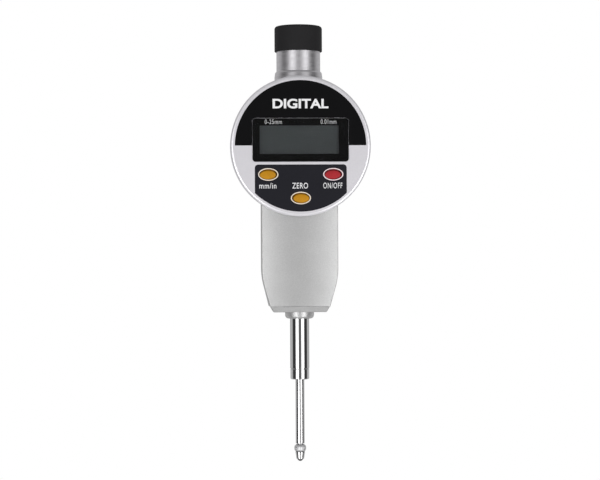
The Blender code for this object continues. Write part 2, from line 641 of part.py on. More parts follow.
def build_return_spring():
    """Extension spring: a round loop on each pin, and turns that taper in to the loops."""
    coil_r, loop_r, points_per_turn = 1.7, 1.2, 6
    low, high = SPRING_LOW + loop_r, SPRING_HIGH - loop_r
    lower = [(loop_r * math.sin(a), -loop_r * math.cos(a)) for a in turn_angles(-140, 150, 9)]
    path = [(x, 0.0, SPRING_LOW + z) for x, z in lower]
    count = SPRING_TURNS * points_per_turn
    for i in range(1, count):
        share = i / count
        ends = min(1.0, share * SPRING_TURNS * 1.3, (1 - share) * SPRING_TURNS * 1.3)
        angle = math.tau * i / points_per_turn
        rise = low + (high - low) * share
        path.append((coil_r * ends * math.sin(angle), coil_r * ends * math.cos(angle), rise))
    upper = [(loop_r * math.sin(a), loop_r * -math.cos(a)) for a in turn_angles(0, 290, 9)]
    path += [(x, 0.0, SPRING_HIGH + z) for x, z in upper]
    curve = bpy.data.curves.new("return_spring", "CURVE")
    curve.dimensions = "3D"
    curve.bevel_depth = 0.2 * MM
    curve.bevel_resolution = 1
    curve.use_fill_caps = True
    spline = curve.splines.new("POLY")
    spline.points.add(len(path) - 1)
    for point, (x, y, z) in zip(spline.points, path):
        point.co = (x * MM, y * MM, z * MM, 1.0)
    solid_from_curve("return_spring", curve, (SPRING_X, 0, 0), UP, "spring_steel")


def turn_angles(start, end, steps):
    return [math.radians(start + (end - start) * i / steps) for i in range(steps + 1)]


# ---- sleeve and cap on top ----

def build_top():
    sleeve = [
        (8.6, 120.5), (SLEEVE_R, 120.0), (SLEEVE_R, 117.6), (7.9, 117.6), (7.9, 116.0),
        (SLEEVE_R, 116.0), (SLEEVE_R, 103.7), (FLANGE_R, 102.4), (FLANGE_R, 97.0), (6.0, 97.0),
        (6.0, 92.5), (4.6, 92.5), (4.6, 98.0), (6.5, 99.0), (6.5, 120.5),
    ]
    turned("top_sleeve", sleeve, "turned_aluminium", ring=True, steps=32)
    seal_r, seal_z = 8.6, 116.8
    circle = arc((seal_r, seal_z), 0.6, 90, -210, 5)
    turned("cap_seal_ring", circle, "rubber", ring=True, steps=32)
    corner = arc((CAP_R - 1.2, CAP_TOP - 1.2), 1.2, 90, 0, 3)
    cap = [(0, CAP_TOP), *corner, (CAP_R, CAP_BOTTOM), (9.35, CAP_BOTTOM), (9.35, 121.6), (0, 121.6)]
    dust_cap = turned("dust_cap", cap, "black_plastic", steps=32)
    ride("dust_cap_axis", (0, 0, CAP_BOTTOM), [dust_cap])


def ride(name, at, parts):
    """Parents the parts to an empty on their joint's axis, without moving them."""
    axis = bpy.data.objects.new(name, None)
    axis.location = Vector(at) * MM
    axis.empty_display_size = 5 * MM
    PARTS.objects.link(axis)
    for part in parts:
        part.parent = axis
        part.location -= axis.location


clear_scene()
PARTS = new_collection("travel_indicator")
CUTTERS = new_collection("cutters")
CUTTERS.hide_render = True

build_body()
build_back_cover()
build_housing()
build_label_and_lens()
build_display()
build_electronics()
build_head_screws()
build_buttons()
build_data_port()
build_battery()
build_battery_contacts()
build_stem()
build_spindle()
build_return_spring()
build_top()
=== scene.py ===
import json
import math

import bmesh
import bpy
from mathutils import Matrix, Vector


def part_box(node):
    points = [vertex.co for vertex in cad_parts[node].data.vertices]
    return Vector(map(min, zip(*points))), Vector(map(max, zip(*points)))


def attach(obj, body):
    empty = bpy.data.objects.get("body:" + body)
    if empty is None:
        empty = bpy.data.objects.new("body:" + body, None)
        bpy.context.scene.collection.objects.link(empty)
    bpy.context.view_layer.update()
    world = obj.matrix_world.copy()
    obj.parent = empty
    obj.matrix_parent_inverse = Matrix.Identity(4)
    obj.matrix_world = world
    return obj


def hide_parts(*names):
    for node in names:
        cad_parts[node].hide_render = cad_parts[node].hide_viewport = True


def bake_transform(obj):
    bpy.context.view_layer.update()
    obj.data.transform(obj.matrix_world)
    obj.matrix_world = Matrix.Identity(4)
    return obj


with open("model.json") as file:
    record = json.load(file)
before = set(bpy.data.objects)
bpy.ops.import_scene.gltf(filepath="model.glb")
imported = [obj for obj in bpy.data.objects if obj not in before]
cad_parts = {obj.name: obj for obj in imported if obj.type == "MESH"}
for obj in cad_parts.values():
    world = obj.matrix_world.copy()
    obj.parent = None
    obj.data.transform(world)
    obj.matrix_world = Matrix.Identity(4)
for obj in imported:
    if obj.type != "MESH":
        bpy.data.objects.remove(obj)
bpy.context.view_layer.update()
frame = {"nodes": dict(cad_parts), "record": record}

# Shapes are worked out in millimetres, in the frame's axes, and scaled by MM when a mesh is made.
MM = 0.001
SHARP = math.radians(30)
ROOT = "instrument_body"
SPINDLE_BODY = "spindle_group"


def span(node):
    """(low, high) corners of a CAD node, in millimetres."""
    low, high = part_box(node)
    return low / MM, high / MM


# ---- places and sizes read from the frame ----

HOUSING_LOW, HOUSING_HIGH = span("display_housing")
LABEL_LOW, LABEL_HIGH = span("face_label")
LENS_LOW, LENS_HIGH = span("lcd_lens")
BODY_LOW, BODY_HIGH = span("main_body")
COVER_LOW, COVER_HIGH = span("back_cover")
STEM_LOW, STEM_HIGH = span("stem")
NOSE_LOW, NOSE_HIGH = span("lower_bushing")
SPINDLE_LOW, SPINDLE_HIGH = span("spindle")
POINT_HIGH = span("contact_point")[1]
BALL_LOW, BALL_HIGH = span("contact_ball")
SLEEVE_LOW, SLEEVE_HIGH = span("top_sleeve")
CAP_LOW, CAP_HIGH = span("dust_cap")

HEAD_Z = (HOUSING_LOW.z + HOUSING_HIGH.z) / 2
HEAD_R = (HOUSING_HIGH.x - HOUSING_LOW.x) / 2
LABEL_R = (LABEL_HIGH.x - LABEL_LOW.x) / 2
LABEL_FRONT = LABEL_LOW.y
LABEL_BACK = LABEL_HIGH.y
PRINT_R = LABEL_R - 0.68
PRINT_THICK = 0.02
DRUM_R = BODY_HIGH.x
BODY_FRONT, BODY_BACK = BODY_LOW.y, BODY_HIGH.y
BODY_TOP = BODY_HIGH.z
CAP_R = CAP_HIGH.x

# ---- sizes of the body's outline ----

NECK_HALF = 15.95
TAPER = math.radians(16.5)
TAPER_FOOT = (12.45, 5.2)
BODY_FOOT = (11.1, 2.8)
NECK_FILLET_R = 30.0
WALL = 2.0
CAVITY_BOTTOM = 12.5
TOP_BLOCK = (13.0, 86.6)
BOSS_R = 6.1
BOSS_TOP, BOSS_ROUND = 4.2, 1.45
BOLT_PLACES = [span(f"back_screw_{i}") for i in (1, 2, 3, 4)]
SCREW_PLACES = [((low.x + high.x) / 2, (low.z + high.z) / 2) for low, high in BOLT_PLACES]

# ---- sizes of the face, with offsets from the middle of the head ----

LCD_AREA = (32.8, 11.8)
LCD_OFFSET = (-0.5, 2.57)
LENS_AT = ((LENS_LOW.x + LENS_HIGH.x) / 2, (LENS_LOW.z + LENS_HIGH.z) / 2)
LENS_SIZE = (LENS_HIGH.x - LENS_LOW.x, LENS_HIGH.z - LENS_LOW.z)
LENS_TRIM = 0.1
PANEL_HALF = 18.95
PANEL_TOP = -7.68
PANEL_CORNER = 1.4
FIELD_FOOT = 0.19
LEGEND_ROW = -16.4
NAME_ROW = 17.4
WINDOW_ROW = 10.0
BUTTON_KEYS = ("unit", "zero", "power")
RING_SEMI = (4.15, 2.58)
HOLE_SEMI = (3.75, 2.2)
KEY_SEMI = (3.3, 1.78)
KEY_DROP = 0.17

# ---- sizes of the moving and clamped parts ----

STEM_BORE = 2.2
NOSE_PLUG_R, NOSE_STEP_Z = 2.9, -21.2
COLLAR_TOP, COLLAR_FOOT = -52.9, -56.08
CONE_TOP, CONE_FOOT = (2.0, -56.1), (1.58, -59.0)
CONE_END = (1.24, -59.22)
SLEEVE_R, SLEEVE_BORE = 9.2, 6.5
CAP_INSIDE = (9.35, 121.6)


def centre_of(node):
    low, high = span(node)
    return (low + high) / 2


# ---- meshes ----

def new_object(name, data):
    obj = bpy.data.objects.new(name, data)
    bpy.context.scene.collection.objects.link(obj)
    return obj


def add(name, form):
    """Turns a bmesh in millimetres into an object in metres, smooth but for its sharp edges."""
    bmesh.ops.scale(form, vec=(MM, MM, MM), verts=form.verts)
    mesh = bpy.data.meshes.new(name)
    form.to_mesh(mesh)
    form.free()
    mesh.shade_smooth()
    mesh.set_sharp_from_angle(angle=SHARP)
    return new_object(name, mesh)


def softened(points, closed=False, segments=4):
    """Corner points (a, b) or (a, b, radius) as a line whose corners are rounded to their radius."""
    line = []
    count = len(points)
    for i, (a, b, *radius) in enumerate(points):
        here = Vector((a, b))
        if not radius or (not closed and i in (0, count - 1)):
            line.append(here)
            continue
        back = (Vector(points[i - 1][:2]) - here).normalized()
        on = (Vector(points[(i + 1) % count][:2]) - here).normalized()
        half = back.angle(on) / 2
        centre = here + (back + on).normalized() * (radius[0] / math.sin(half))
        start = here + back * (radius[0] / math.tan(half)) - centre
        end = here + on * (radius[0] / math.tan(half)) - centre
        first = math.atan2(start.y, start.x)
        sweep = math.remainder(math.atan2(end.y, end.x) - first, math.tau)
        for step in range(segments + 1):
            angle = first + sweep * step / segments
            line.append(centre + Vector((math.cos(angle), math.sin(angle))) * radius[0])
    return line


FACINGS = {
    "up": Matrix.Identity(3),
    "front": Matrix(((1, 0, 0), (0, 0, -1), (0, 1, 0))),
    "back": Matrix(((1, 0, 0), (0, 0, 1), (0, -1, 0))),
    "right": Matrix(((0, 0, 1), (1, 0, 0), (0, 1, 0))),
}


def lathe(name, profile, centre=(0, 0, 0), facing="up", steps=96, closed=False, flutes=None):
    """Turned shape from (radius, height) points; flutes is (count, depth, lowest, highest height)."""
    form = bmesh.new()
    turn = FACINGS[facing]
    rings = []
    for radius, height in softened(profile, closed):
        if radius < 1e-6:
            rings.append([form.verts.new(turn @ Vector((0, 0, height)) + Vector(centre))])
            continue
        ring = []
        for step in range(steps):
            angle = math.tau * step / steps
            here = radius
            if flutes and flutes[2] <= height <= flutes[3]:
                here -= flutes[1] * (0.5 - 0.5 * math.cos(flutes[0] * angle))
            point = Vector((here * math.cos(angle), here * math.sin(angle), height))
            ring.append(form.verts.new(turn @ point + Vector(centre)))
        rings.append(ring)
    following = rings[1:] + rings[:1] if closed else rings[1:]
    for one, two in zip(rings, following):
        for step in range(steps):
            after = (step + 1) % steps
            if len(one) == 1:
                form.faces.new((one[0], two[step], two[after]))
            elif len(two) == 1:
                form.faces.new((one[step], two[0], one[after]))
            else:
                form.faces.new((one[step], two[step], two[after], one[after]))
    bmesh.ops.recalc_face_normals(form, faces=form.faces)
    return add(name, form)


def evaluated_mesh(obj):
    """The mesh that an object has once its modifiers or its curve are worked out."""
    bpy.context.view_layer.update()
    return bpy.data.meshes.new_from_object(obj.evaluated_get(bpy.context.evaluated_depsgraph_get()))


def curve_mesh(curve):
    """The mesh that a curve draws, with no object left behind."""
    helper = new_object(curve.name, curve)
    mesh = evaluated_mesh(helper)
    bpy.data.objects.remove(helper, do_unlink=True)
    return mesh


def plate(name, outlines, low, high, facing="front"):
    """A flat outline with any holes, made solid between two places along its normal.

    Front outlines are (x, z) with low and high along Y; right ones are (y, z) along X.
    """
    curve = bpy.data.curves.new(name, "CURVE")
    curve.dimensions = "2D"
    curve.fill_mode = "BOTH"
    curve.extrude = (high - low) / 2
    for outline in outlines:
        spline = curve.splines.new("POLY")
        spline.points.add(len(outline) - 1)
        for point, (across, up) in zip(spline.points, outline):
            point.co = (across, up, 0.0, 1.0)
        spline.use_cyclic_u = True
    mesh = curve_mesh(curve)
    form = bmesh.new()
    form.from_mesh(mesh)
    bpy.data.meshes.remove(mesh)
    middle = (low + high) / 2
    shift = (0, middle, 0) if facing == "front" else (middle, 0, 0)
    place = Matrix.Translation(shift) @ FACINGS[facing].to_4x4()
    bmesh.ops.transform(form, matrix=place, verts=form.verts)
    bmesh.ops.remove_doubles(form, verts=form.verts, dist=0.0005)
    bmesh.ops.recalc_face_normals(form, faces=form.faces)
    return add(name, form)


def block(name, low, high):
    form = bmesh.new()
    bmesh.ops.create_cube(form, size=1.0)
    bmesh.ops.scale(form, vec=Vector(high) - Vector(low), verts=form.verts)
    bmesh.ops.translate(form, vec=(Vector(low) + Vector(high)) / 2, verts=form.verts)
    return add(name, form)


def bar(name, start, end, radius, sides=48):
    """Round bar between two points."""
    run = Vector(end) - Vector(start)
    form = bmesh.new()
    bmesh.ops.create_cone(
        form, cap_ends=True, segments=sides, depth=run.length, radius1=radius, radius2=radius
    )
    turn = run.to_track_quat("Z", "Y").to_matrix().to_4x4()
    place = Matrix.Translation((Vector(start) + Vector(end)) / 2) @ turn
    bmesh.ops.transform(form, matrix=place, verts=form.verts)
    return add(name, form)


def combine(obj, operation, tools):
    for tool in tools:
        modifier = obj.modifiers.new(tool.name, "BOOLEAN")
        modifier.operation = operation
        modifier.solver = "EXACT"
        modifier.object = tool
    return obj


def round_edges(obj, width, segments=3, angle=32.0):
    modifier = obj.modifiers.new("round_edges", "BEVEL")
    modifier.width = width * MM
    modifier.segments = segments
    modifier.limit_method = "ANGLE"
    modifier.angle_limit = math.radians(angle)
    return obj


def settle(obj, *helpers):
    """Applies the modifiers, removes the helpers that they used, and cleans the mesh."""
    mesh = evaluated_mesh(obj)
    obj.modifiers.clear()
    obj.data = mesh
    form = bmesh.new()
    form.from_mesh(mesh)
    bmesh.ops.remove_doubles(form, verts=form.verts, dist=0.000002)
    bmesh.ops.dissolve_degenerate(form, edges=form.edges, dist=0.000001)
    form.to_mesh(mesh)
    form.free()
    mesh.materials.clear()
    mesh.shade_smooth()
    mesh.set_sharp_from_angle(angle=SHARP)
    for helper in helpers:
        bpy.data.objects.remove(helper, do_unlink=True)


def cut(obj, *tools):
    return combine(obj, "DIFFERENCE", tools)


def join(obj, *tools):
    return combine(obj, "UNION", tools)


def arc(centre, radius, start, end, steps):
    angles = [math.radians(start + (end - start) * i / steps) for i in range(steps + 1)]
    return [(centre[0] + radius * math.cos(a), centre[1] + radius * math.sin(a)) for a in angles]


def rounded_box(centre, size, radius, steps=8):
    half_x = size[0] / 2 - radius
    half_y = size[1] / 2 - radius
    points = []
    for sign_x, sign_y, start in ((1, 1, 0), (-1, 1, 90), (-1, -1, 180), (1, -1, 270)):
        corner = (centre[0] + sign_x * half_x, centre[1] + sign_y * half_y)
        points += arc(corner, radius, start, start + 90, steps)
    return points


def ellipse(centre, semi, steps=72):
    angles = [math.tau * i / steps for i in range(steps)]
    return [(centre[0] + semi[0] * math.cos(a), centre[1] + semi[1] * math.sin(a)) for a in angles]


def on_head(offset):
    return (offset[0], HEAD_Z + offset[1])


def button_place(key):
    middle = centre_of(f"button_{key}")
    return (middle.x, middle.z)


# ---- materials ----

class Finish:
    """A Principled material whose colour, roughness and bump come from object-space textures."""

    def __init__(self, name, colour, roughness, metallic=0.0):
        self.material = bpy.data.materials.new(name)
        self.material.use_nodes = True
        self.tree = self.material.node_tree
        self.shader = self.tree.nodes["Principled BSDF"]
        self.shader.inputs["Metallic"].default_value = metallic
        self.coords = self.node("ShaderNodeTexCoord").outputs["Object"]
        self.colour = self.node("ShaderNodeRGB").outputs[0]
        self.colour.default_value = (*colour, 1.0)
        self.roughness = roughness
        self.rough = None
        self.normal = None

    def node(self, kind, **settings):
        made = self.tree.nodes.new(kind)
        for key, value in settings.items():
            setattr(made, key, value)
        return made

    def link(self, source, target):
        self.tree.links.new(source, target)

    def noise(self, size, stretch=(1, 1, 1), detail=3.0):
        """Noise with features about size millimetres across, squeezed along each axis by stretch."""
        mapping = self.node("ShaderNodeMapping")
        mapping.inputs["Scale"].default_value = [s / (size * MM) for s in stretch]
        self.link(self.coords, mapping.inputs["Vector"])
        noise = self.node("ShaderNodeTexNoise")
        noise.inputs["Scale"].default_value = 1.0
        noise.inputs["Detail"].default_value = detail
        self.link(mapping.outputs[0], noise.inputs["Vector"])
        return noise.outputs["Fac"]

    def swing(self, value, low, high, source=(0.3, 0.7)):
        ranged = self.node("ShaderNodeMapRange")
        ranged.inputs["From Min"].default_value = source[0]
        ranged.inputs["From Max"].default_value = source[1]
        ranged.inputs["To Min"].default_value = low
        ranged.inputs["To Max"].default_value = high
        self.link(value, ranged.inputs["Value"])
        return ranged.outputs[0]

    def shade(self, value):
        """Multiplies the colour by a value."""
        scale = self.node("ShaderNodeVectorMath", operation="SCALE")
        self.link(self.colour, scale.inputs[0])
        self.link(value, scale.inputs["Scale"])
        self.colour = scale.outputs[0]
        return self

    def tint(self, mask, colour):
        mix = self.node("ShaderNodeMix", data_type="RGBA")
        self.link(mask, mix.inputs["Factor"])
        self.link(self.colour, mix.inputs["A"])
        mix.inputs["B"].default_value = (*colour, 1.0)
        self.colour = mix.outputs["Result"]
        return self

    def vary(self, size, amount, stretch=(1, 1, 1), detail=3.0):
        return self.shade(self.swing(self.noise(size, stretch, detail), 1 - amount, 1 + amount))

    def vary_roughness(self, size, amount, stretch=(1, 1, 1)):
        low, high = self.roughness - amount, self.roughness + amount
        self.rough = self.swing(self.noise(size, stretch, 4.0), low, high)
        return self

    def bump(self, height, depth):
        """Adds a height from 0 to 1 as relief, depth millimetres deep."""
        bump = self.node("ShaderNodeBump")
        bump.inputs["Distance"].default_value = depth * MM
        self.link(height, bump.inputs["Height"])
        if self.normal:
            self.link(self.normal, bump.inputs["Normal"])
        self.normal = bump.outputs[0]
        return self

    def grain(self, size, depth, stretch=(1, 1, 1), detail=3.0):
        return self.bump(self.noise(size, stretch, detail), depth)

    def worn_edges(self, radius, amount):
        """Lighter where the surface turns sharply, as handling leaves it."""
        bevel = self.node("ShaderNodeBevel", samples=4)
        bevel.inputs["Radius"].default_value = radius * MM
        true = self.node("ShaderNodeNewGeometry").outputs["Normal"]
        dot = self.node("ShaderNodeVectorMath", operation="DOT_PRODUCT")
        self.link(bevel.outputs[0], dot.inputs[0])
        self.link(true, dot.inputs[1])
        mask = self.swing(dot.outputs["Value"], 1.0, 0.0, (0.82, 0.99))
        patchy = self.node("ShaderNodeMath", operation="MULTIPLY")
        self.link(mask, patchy.inputs[0])
        self.link(self.swing(self.noise(0.9), 0.0, 1.0, (0.42, 0.6)), patchy.inputs[1])
        return self.shade(self.swing(patchy.outputs[0], 1.0, 1.0 + amount, (0.0, 1.0)))

    def set(self, **values):
        for key, value in values.items():
            self.shader.inputs[key.replace("_", " ")].default_value = value
        return self

    def done(self):
        self.link(self.colour, self.shader.inputs["Base Color"])
        if self.rough:
            self.link(self.rough, self.shader.inputs["Roughness"])
        else:
            self.shader.inputs["Roughness"].default_value = self.roughness
        if self.normal:
            self.link(self.normal, self.shader.inputs["Normal"])
        return self.material


def painted_body():
    """Fine-textured silver-grey paint, very slightly crowned across the neck."""
    paint = Finish("silver_grey_paint", (0.505, 0.505, 0.505), 0.42, 0.72)
    paint.vary(0.4, 0.07, detail=2.0).vary(9.0, 0.03).vary_roughness(0.5, 0.06)
    across = paint.node("ShaderNodeSeparateXYZ")
    paint.link(paint.coords, across.inputs[0])
    square = paint.node("ShaderNodeMath", operation="MULTIPLY")
    paint.link(across.outputs["X"], square.inputs[0])
    paint.link(across.outputs["X"], square.inputs[1])
    half, crown = NECK_HALF * MM, 1.3
    paint.bump(paint.swing(square.outputs[0], 1.0, 0.0, (0.0, half * half)), crown)
    paint.grain(0.4, 0.013, detail=2.0)
    return paint.worn_edges(0.25, 0.12).done()


def head_silver():
    silver = Finish("satin_silver", (0.70, 0.69, 0.72), 0.36, 0.4)
    silver.vary(0.35, 0.025).vary(6.0, 0.02).vary_roughness(0.8, 0.05).grain(0.25, 0.003)
    return silver.done()


def ink(name, colour, roughness, amount=0.05, metallic=0.0, specular=0.35):
    """Printed ink on the overlay: almost even, with the faint mottle of the film over it."""
    made = Finish(name, colour, roughness, metallic)
    made.vary(0.7, amount * 0.6).vary(7.0, amount * 0.6).vary_roughness(1.6, 0.012).grain(0.5, 0.0005)
    return made.set(**{"Specular_IOR_Level": specular}).done()


def moulded(name, colour, roughness, size=0.3, depth=0.008, specular=0.4):
    made = Finish(name, colour, roughness)
    made.vary(size, 0.10).vary(5.0, 0.06).vary_roughness(size * 2, 0.06).grain(size, depth)
    return made.set(**{"Specular_IOR_Level": specular}).worn_edges(0.2, 0.35).done()


def turned_metal(name, colour, roughness, pitch, depth, stretch=(0.02, 0.02, 1.0), marks=0.04):
    """Metal with the fine rings that a lathe leaves round its axis."""
    made = Finish(name, colour, roughness, 1.0)
    made.vary(pitch * 2, marks, stretch).vary(4.0, 0.02)
    made.vary_roughness(pitch * 4, roughness * 0.2, stretch).grain(pitch, depth, stretch)
    return made.done()


def polished_metal(name, colour, roughness, edge=(1, 1, 1)):
    """Smooth metal with faint wipe marks along it; edge tints it where it is seen edge-on."""
    made = Finish(name, colour, roughness, 1.0)
    made.vary(2.5, 0.02, (1, 1, 0.15)).vary_roughness(0.5, roughness * 0.35, (1, 1, 0.12))
    made.grain(0.6, 0.0003, (1, 1, 0.2))
    return made.set(Specular_Tint=(*edge, 1.0)).done()


def clear_window():
    glass = Finish("clear_window", (0.96, 0.97, 0.97), 0.02)
    glass.vary(3.0, 0.01).vary_roughness(1.2, 0.012).grain(6.0, 0.002)
    return glass.set(**{"Transmission_Weight": 1.0, "IOR": 1.33}).done()


def unlit_display():
    """Grey-green reflective cell with its faint electrode shading."""
    cell = Finish("unlit_display", (0.041, 0.048, 0.051), 0.45)
    cell.vary(6.0, 0.06, (1, 1, 0.5)).vary(0.12, 0.04).vary_roughness(1.0, 0.05)
    return cell.grain(0.15, 0.001).done()


def striped(name, colour, stripe, pitch, axis, duty=0.5):
    """Etched or moulded stripes that repeat along one axis, such as a scale's electrodes."""
    made = Finish(name, colour, 0.4)
    parts = made.node("ShaderNodeSeparateXYZ")
    made.link(made.coords, parts.inputs[0])
    repeat = made.node("ShaderNodeMath", operation="PINGPONG")
    repeat.inputs[1].default_value = pitch * MM / 2
    made.link(parts.outputs[axis], repeat.inputs[0])
    edge = pitch * MM / 2 * duty
    mask = made.swing(repeat.outputs[0], 0.0, 1.0, (edge * 0.96, edge * 1.04))
    made.tint(mask, stripe).vary(0.4, 0.05).vary_roughness(0.6, 0.06)
    return made.grain(0.3, 0.003).done()


def circuit():
    """Green solder mask with faint copper runs under it."""
    board = Finish("solder_mask", (0.015, 0.13, 0.05), 0.32)
    brick = board.node("ShaderNodeTexBrick")
    brick.inputs["Scale"].default_value = 1.0 / (2.4 * MM)
    brick.inputs["Mortar Size"].default_value = 0.05
    turn = board.node("ShaderNodeMapping")
    turn.inputs["Rotation"].default_value = (math.pi / 2, 0.0, 0.0)
    board.link(board.coords, turn.inputs["Vector"])
    board.link(turn.outputs[0], brick.inputs["Vector"])
    board.tint(brick.outputs["Fac"], (0.05, 0.26, 0.10)).vary(0.3, 0.06).vary_roughness(0.5, 0.05)
    return board.bump(brick.outputs["Fac"], 0.02).done()


MATERIALS = {
    "body_paint": painted_body(),
    "head_plastic": head_silver(),
    "label_silver": ink("label_silver", (0.715, 0.70, 0.735), 0.34, 0.02, 0.3),
    "label_black": ink("label_black", (0.0035, 0.0035, 0.004), 0.16, 0.1, specular=0.25),
    "label_charcoal": ink("label_charcoal", (0.013, 0.013, 0.0175), 0.3, 0.05, specular=0.2),
    "label_white": ink("label_white", (0.80, 0.80, 0.81), 0.4, 0.04),
    "ring_cream": ink("ring_cream", (0.80, 0.70, 0.58), 0.35, 0.03),
    "ring_pink": ink("ring_pink", (0.85, 0.70, 0.72), 0.35, 0.03),
    "window_black": ink("window_black", (0.0015, 0.0015, 0.0018), 0.5, 0.1, specular=0.0),
    "lens_clear": clear_window(),
    "lcd_glass": unlit_display(),
    "black_plastic": moulded("moulded_black", (0.018, 0.0175, 0.0185), 0.7, 0.4, 0.01, 0.12),
    "button_amber": moulded("amber_key", (0.47, 0.215, 0.008), 0.5, 0.2, 0.004, 0.15),
    "button_red": moulded("red_key", (0.355, 0.021, 0.027), 0.5, 0.2, 0.004, 0.15),
    "turned_aluminium": turned_metal("turned_aluminium", (0.56, 0.55, 0.57), 0.42, 0.09, 0.003),
    "chrome_steel": polished_metal("hard_chrome", (0.62, 0.62, 0.625), 0.06, (0.6, 0.6, 0.6)),
    "spindle_chrome": polished_metal("spindle_chrome", (0.60, 0.60, 0.605), 0.2, (0.6, 0.6, 0.6)),
    "bushing_steel": turned_metal("bushing_steel", (0.58, 0.58, 0.585), 0.12, 0.07, 0.001),
    "brushed_steel": turned_metal("ground_steel", (0.52, 0.52, 0.53), 0.28, 0.08, 0.002),
    "knurled_steel": polished_metal("knurled_steel", (0.62, 0.62, 0.63), 0.5),
    "zinc_screw": polished_metal("zinc_plate", (0.50, 0.51, 0.53), 0.3),
    "hardened_ball": polished_metal("lapped_ball", (0.15, 0.15, 0.155), 0.15, (0.3, 0.3, 0.3)),
    "circuit_board": circuit(),
    "scale_board": striped("scale_electrodes", (0.015, 0.10, 0.05), (0.45, 0.33, 0.12), 0.8, "Z"),
    "chip_resin": moulded("chip_resin", (0.010, 0.010, 0.010), 0.45, 0.4, 0.02),
    "carrier_plastic": moulded("filled_nylon", (0.16, 0.16, 0.17), 0.5, 0.25, 0.01),
    "brass_bush": turned_metal("reamed_brass", (0.72, 0.50, 0.20), 0.25, 0.1, 0.003),
    "rubber": moulded("soft_rubber", (0.016, 0.016, 0.017), 0.75, 0.35, 0.012, 0.2),
    "zebra_rubber": striped("zebra_strip", (0.35, 0.35, 0.37), (0.02, 0.02, 0.02), 0.18, "X"),
    "spring_steel": polished_metal("spring_wire", (0.55, 0.55, 0.57), 0.2),
    "battery_steel": polished_metal("cell_can", (0.60, 0.60, 0.58), 0.22),
    "contact_nickel": polished_metal("nickel_strip", (0.62, 0.60, 0.54), 0.25),
}


def even_shading(obj):
    """Weighs the normals by face area, so that broad faces stay true beside their small fillets."""
    weigh = obj.modifiers.new("even_shading", "WEIGHTED_NORMAL")
    weigh.keep_sharp = True
    obj.data = evaluated_mesh(obj)
    obj.modifiers.clear()


def finish_piece(obj, slot, body=ROOT, nodes=(), material=None):
    """Gives a new piece its material and its body, and hides the CAD nodes that it stands for."""
    even_shading(obj)
    obj.data.materials.clear()
    obj.data.materials.append(MATERIALS[material or slot])
    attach(obj, body)
    if nodes:
        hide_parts(*nodes)


# ---- body shell, cover, screws ----

def body_outline(inset, bottom, shoulder, top, foot=()):
    """Neck, taper and drum seen from the front, drawn inset from the outer surface."""
    taper_x = TAPER_FOOT[0] + (bottom - TAPER_FOOT[1]) * math.tan(TAPER) - inset / math.cos(TAPER)
    corner_z = TAPER_FOOT[1] + (NECK_HALF - TAPER_FOOT[0]) / math.tan(TAPER)
    fillet_z = corner_z + NECK_FILLET_R * math.tan(TAPER / 2)
    drum_r = DRUM_R - inset
    neck_angle = math.degrees(math.acos((NECK_HALF - inset) / drum_r))
    shoulder_angle = math.degrees(math.acos(shoulder / drum_r))
    half = [*foot, (taper_x, bottom)]
    half += arc((NECK_HALF - NECK_FILLET_R, fillet_z), NECK_FILLET_R - inset, -math.degrees(TAPER), 0, 12)
    half += arc((0, HEAD_Z), drum_r, -neck_angle, shoulder_angle, 60)
    if half[-1][1] - top > 0.01:
        half.append((shoulder, top))
    return half + [(-x, z) for x, z in reversed(half)]


def foot_wedge(name, face, inward):
    """What the bevel takes off the foot of the body, on the front or the back."""
    depth, beyond, spare = 1.3, 1.95, 0.65
    slope = (TAPER_FOOT[1] - BODY_FOOT[1]) / depth
    low = (face + inward * beyond, TAPER_FOOT[1] - beyond * slope)
    high = (face - inward * spare, TAPER_FOOT[1] + spare * slope)
    outer = face - inward * 2
    return plate(name, [[low, high, (outer, high[1]), (outer, low[1])]], -20, 20, "right")


def build_body():
    shoulder = math.sqrt(DRUM_R ** 2 - (BODY_TOP - HEAD_Z) ** 2)
    outline = body_outline(0, TAPER_FOOT[1], shoulder, BODY_TOP, foot=[BODY_FOOT])
    shell = plate("body_casting", [outline], BODY_FRONT, BODY_BACK)
    wedges = [foot_wedge("wedge_front", BODY_FRONT, 1), foot_wedge("wedge_back", BODY_BACK, -1)]
    round_edges(cut(shell, *wedges), 0.6, 4, 20)
    settle(shell, *wedges)
    boss = lathe("boss", [(0, BOSS_TOP), (BOSS_R, BOSS_TOP), (BOSS_R, 0, BOSS_ROUND), (0, 0)], steps=96)
    inside = body_outline(WALL, CAVITY_BOTTOM, *TOP_BLOCK)
    cavity = plate("cavity", [inside], BODY_FRONT + WALL, BODY_BACK + 1)
    sleeve_r, bushing_r = 6.15, 3.6
    top, step, foot = 98, 92.2, 85.6
    line = [(0, top), (sleeve_r, top), (sleeve_r, step), (bushing_r, step), (bushing_r, foot), (0, foot)]
    bores = lathe("bores", line, steps=60)
    stem_r, stem_top = 4.08, 13.5
    stem_bore = lathe("stem_bore", [(0, stem_top), (stem_r, stem_top), (stem_r, -1), (0, -1)], steps=76)
    sensor_window = block("window", (-7.5, -8, 45.8), (7.5, -5, 62.2))
    drawer = block("drawer", (-28, -3.9, HEAD_Z - 7.1), (-22, 3.9, HEAD_Z + 7.1))
    contact_slot = block("slot", (-20.5, -8, 81.5), (-13.5, -5, 85.4))
    holes = [
        bar(f"screw_hole_{i}", (x, 1.5, z), (x, 9, z), 1.25, 24)
        for i, (x, z) in enumerate(SCREW_PLACES)
    ]
    tools = [stem_bore, cavity, bores, sensor_window, drawer, contact_slot, *holes]
    cut(join(shell, boss), *tools)
    settle(shell, boss, *tools)
    finish_piece(shell, "body_paint", nodes=["main_body"])


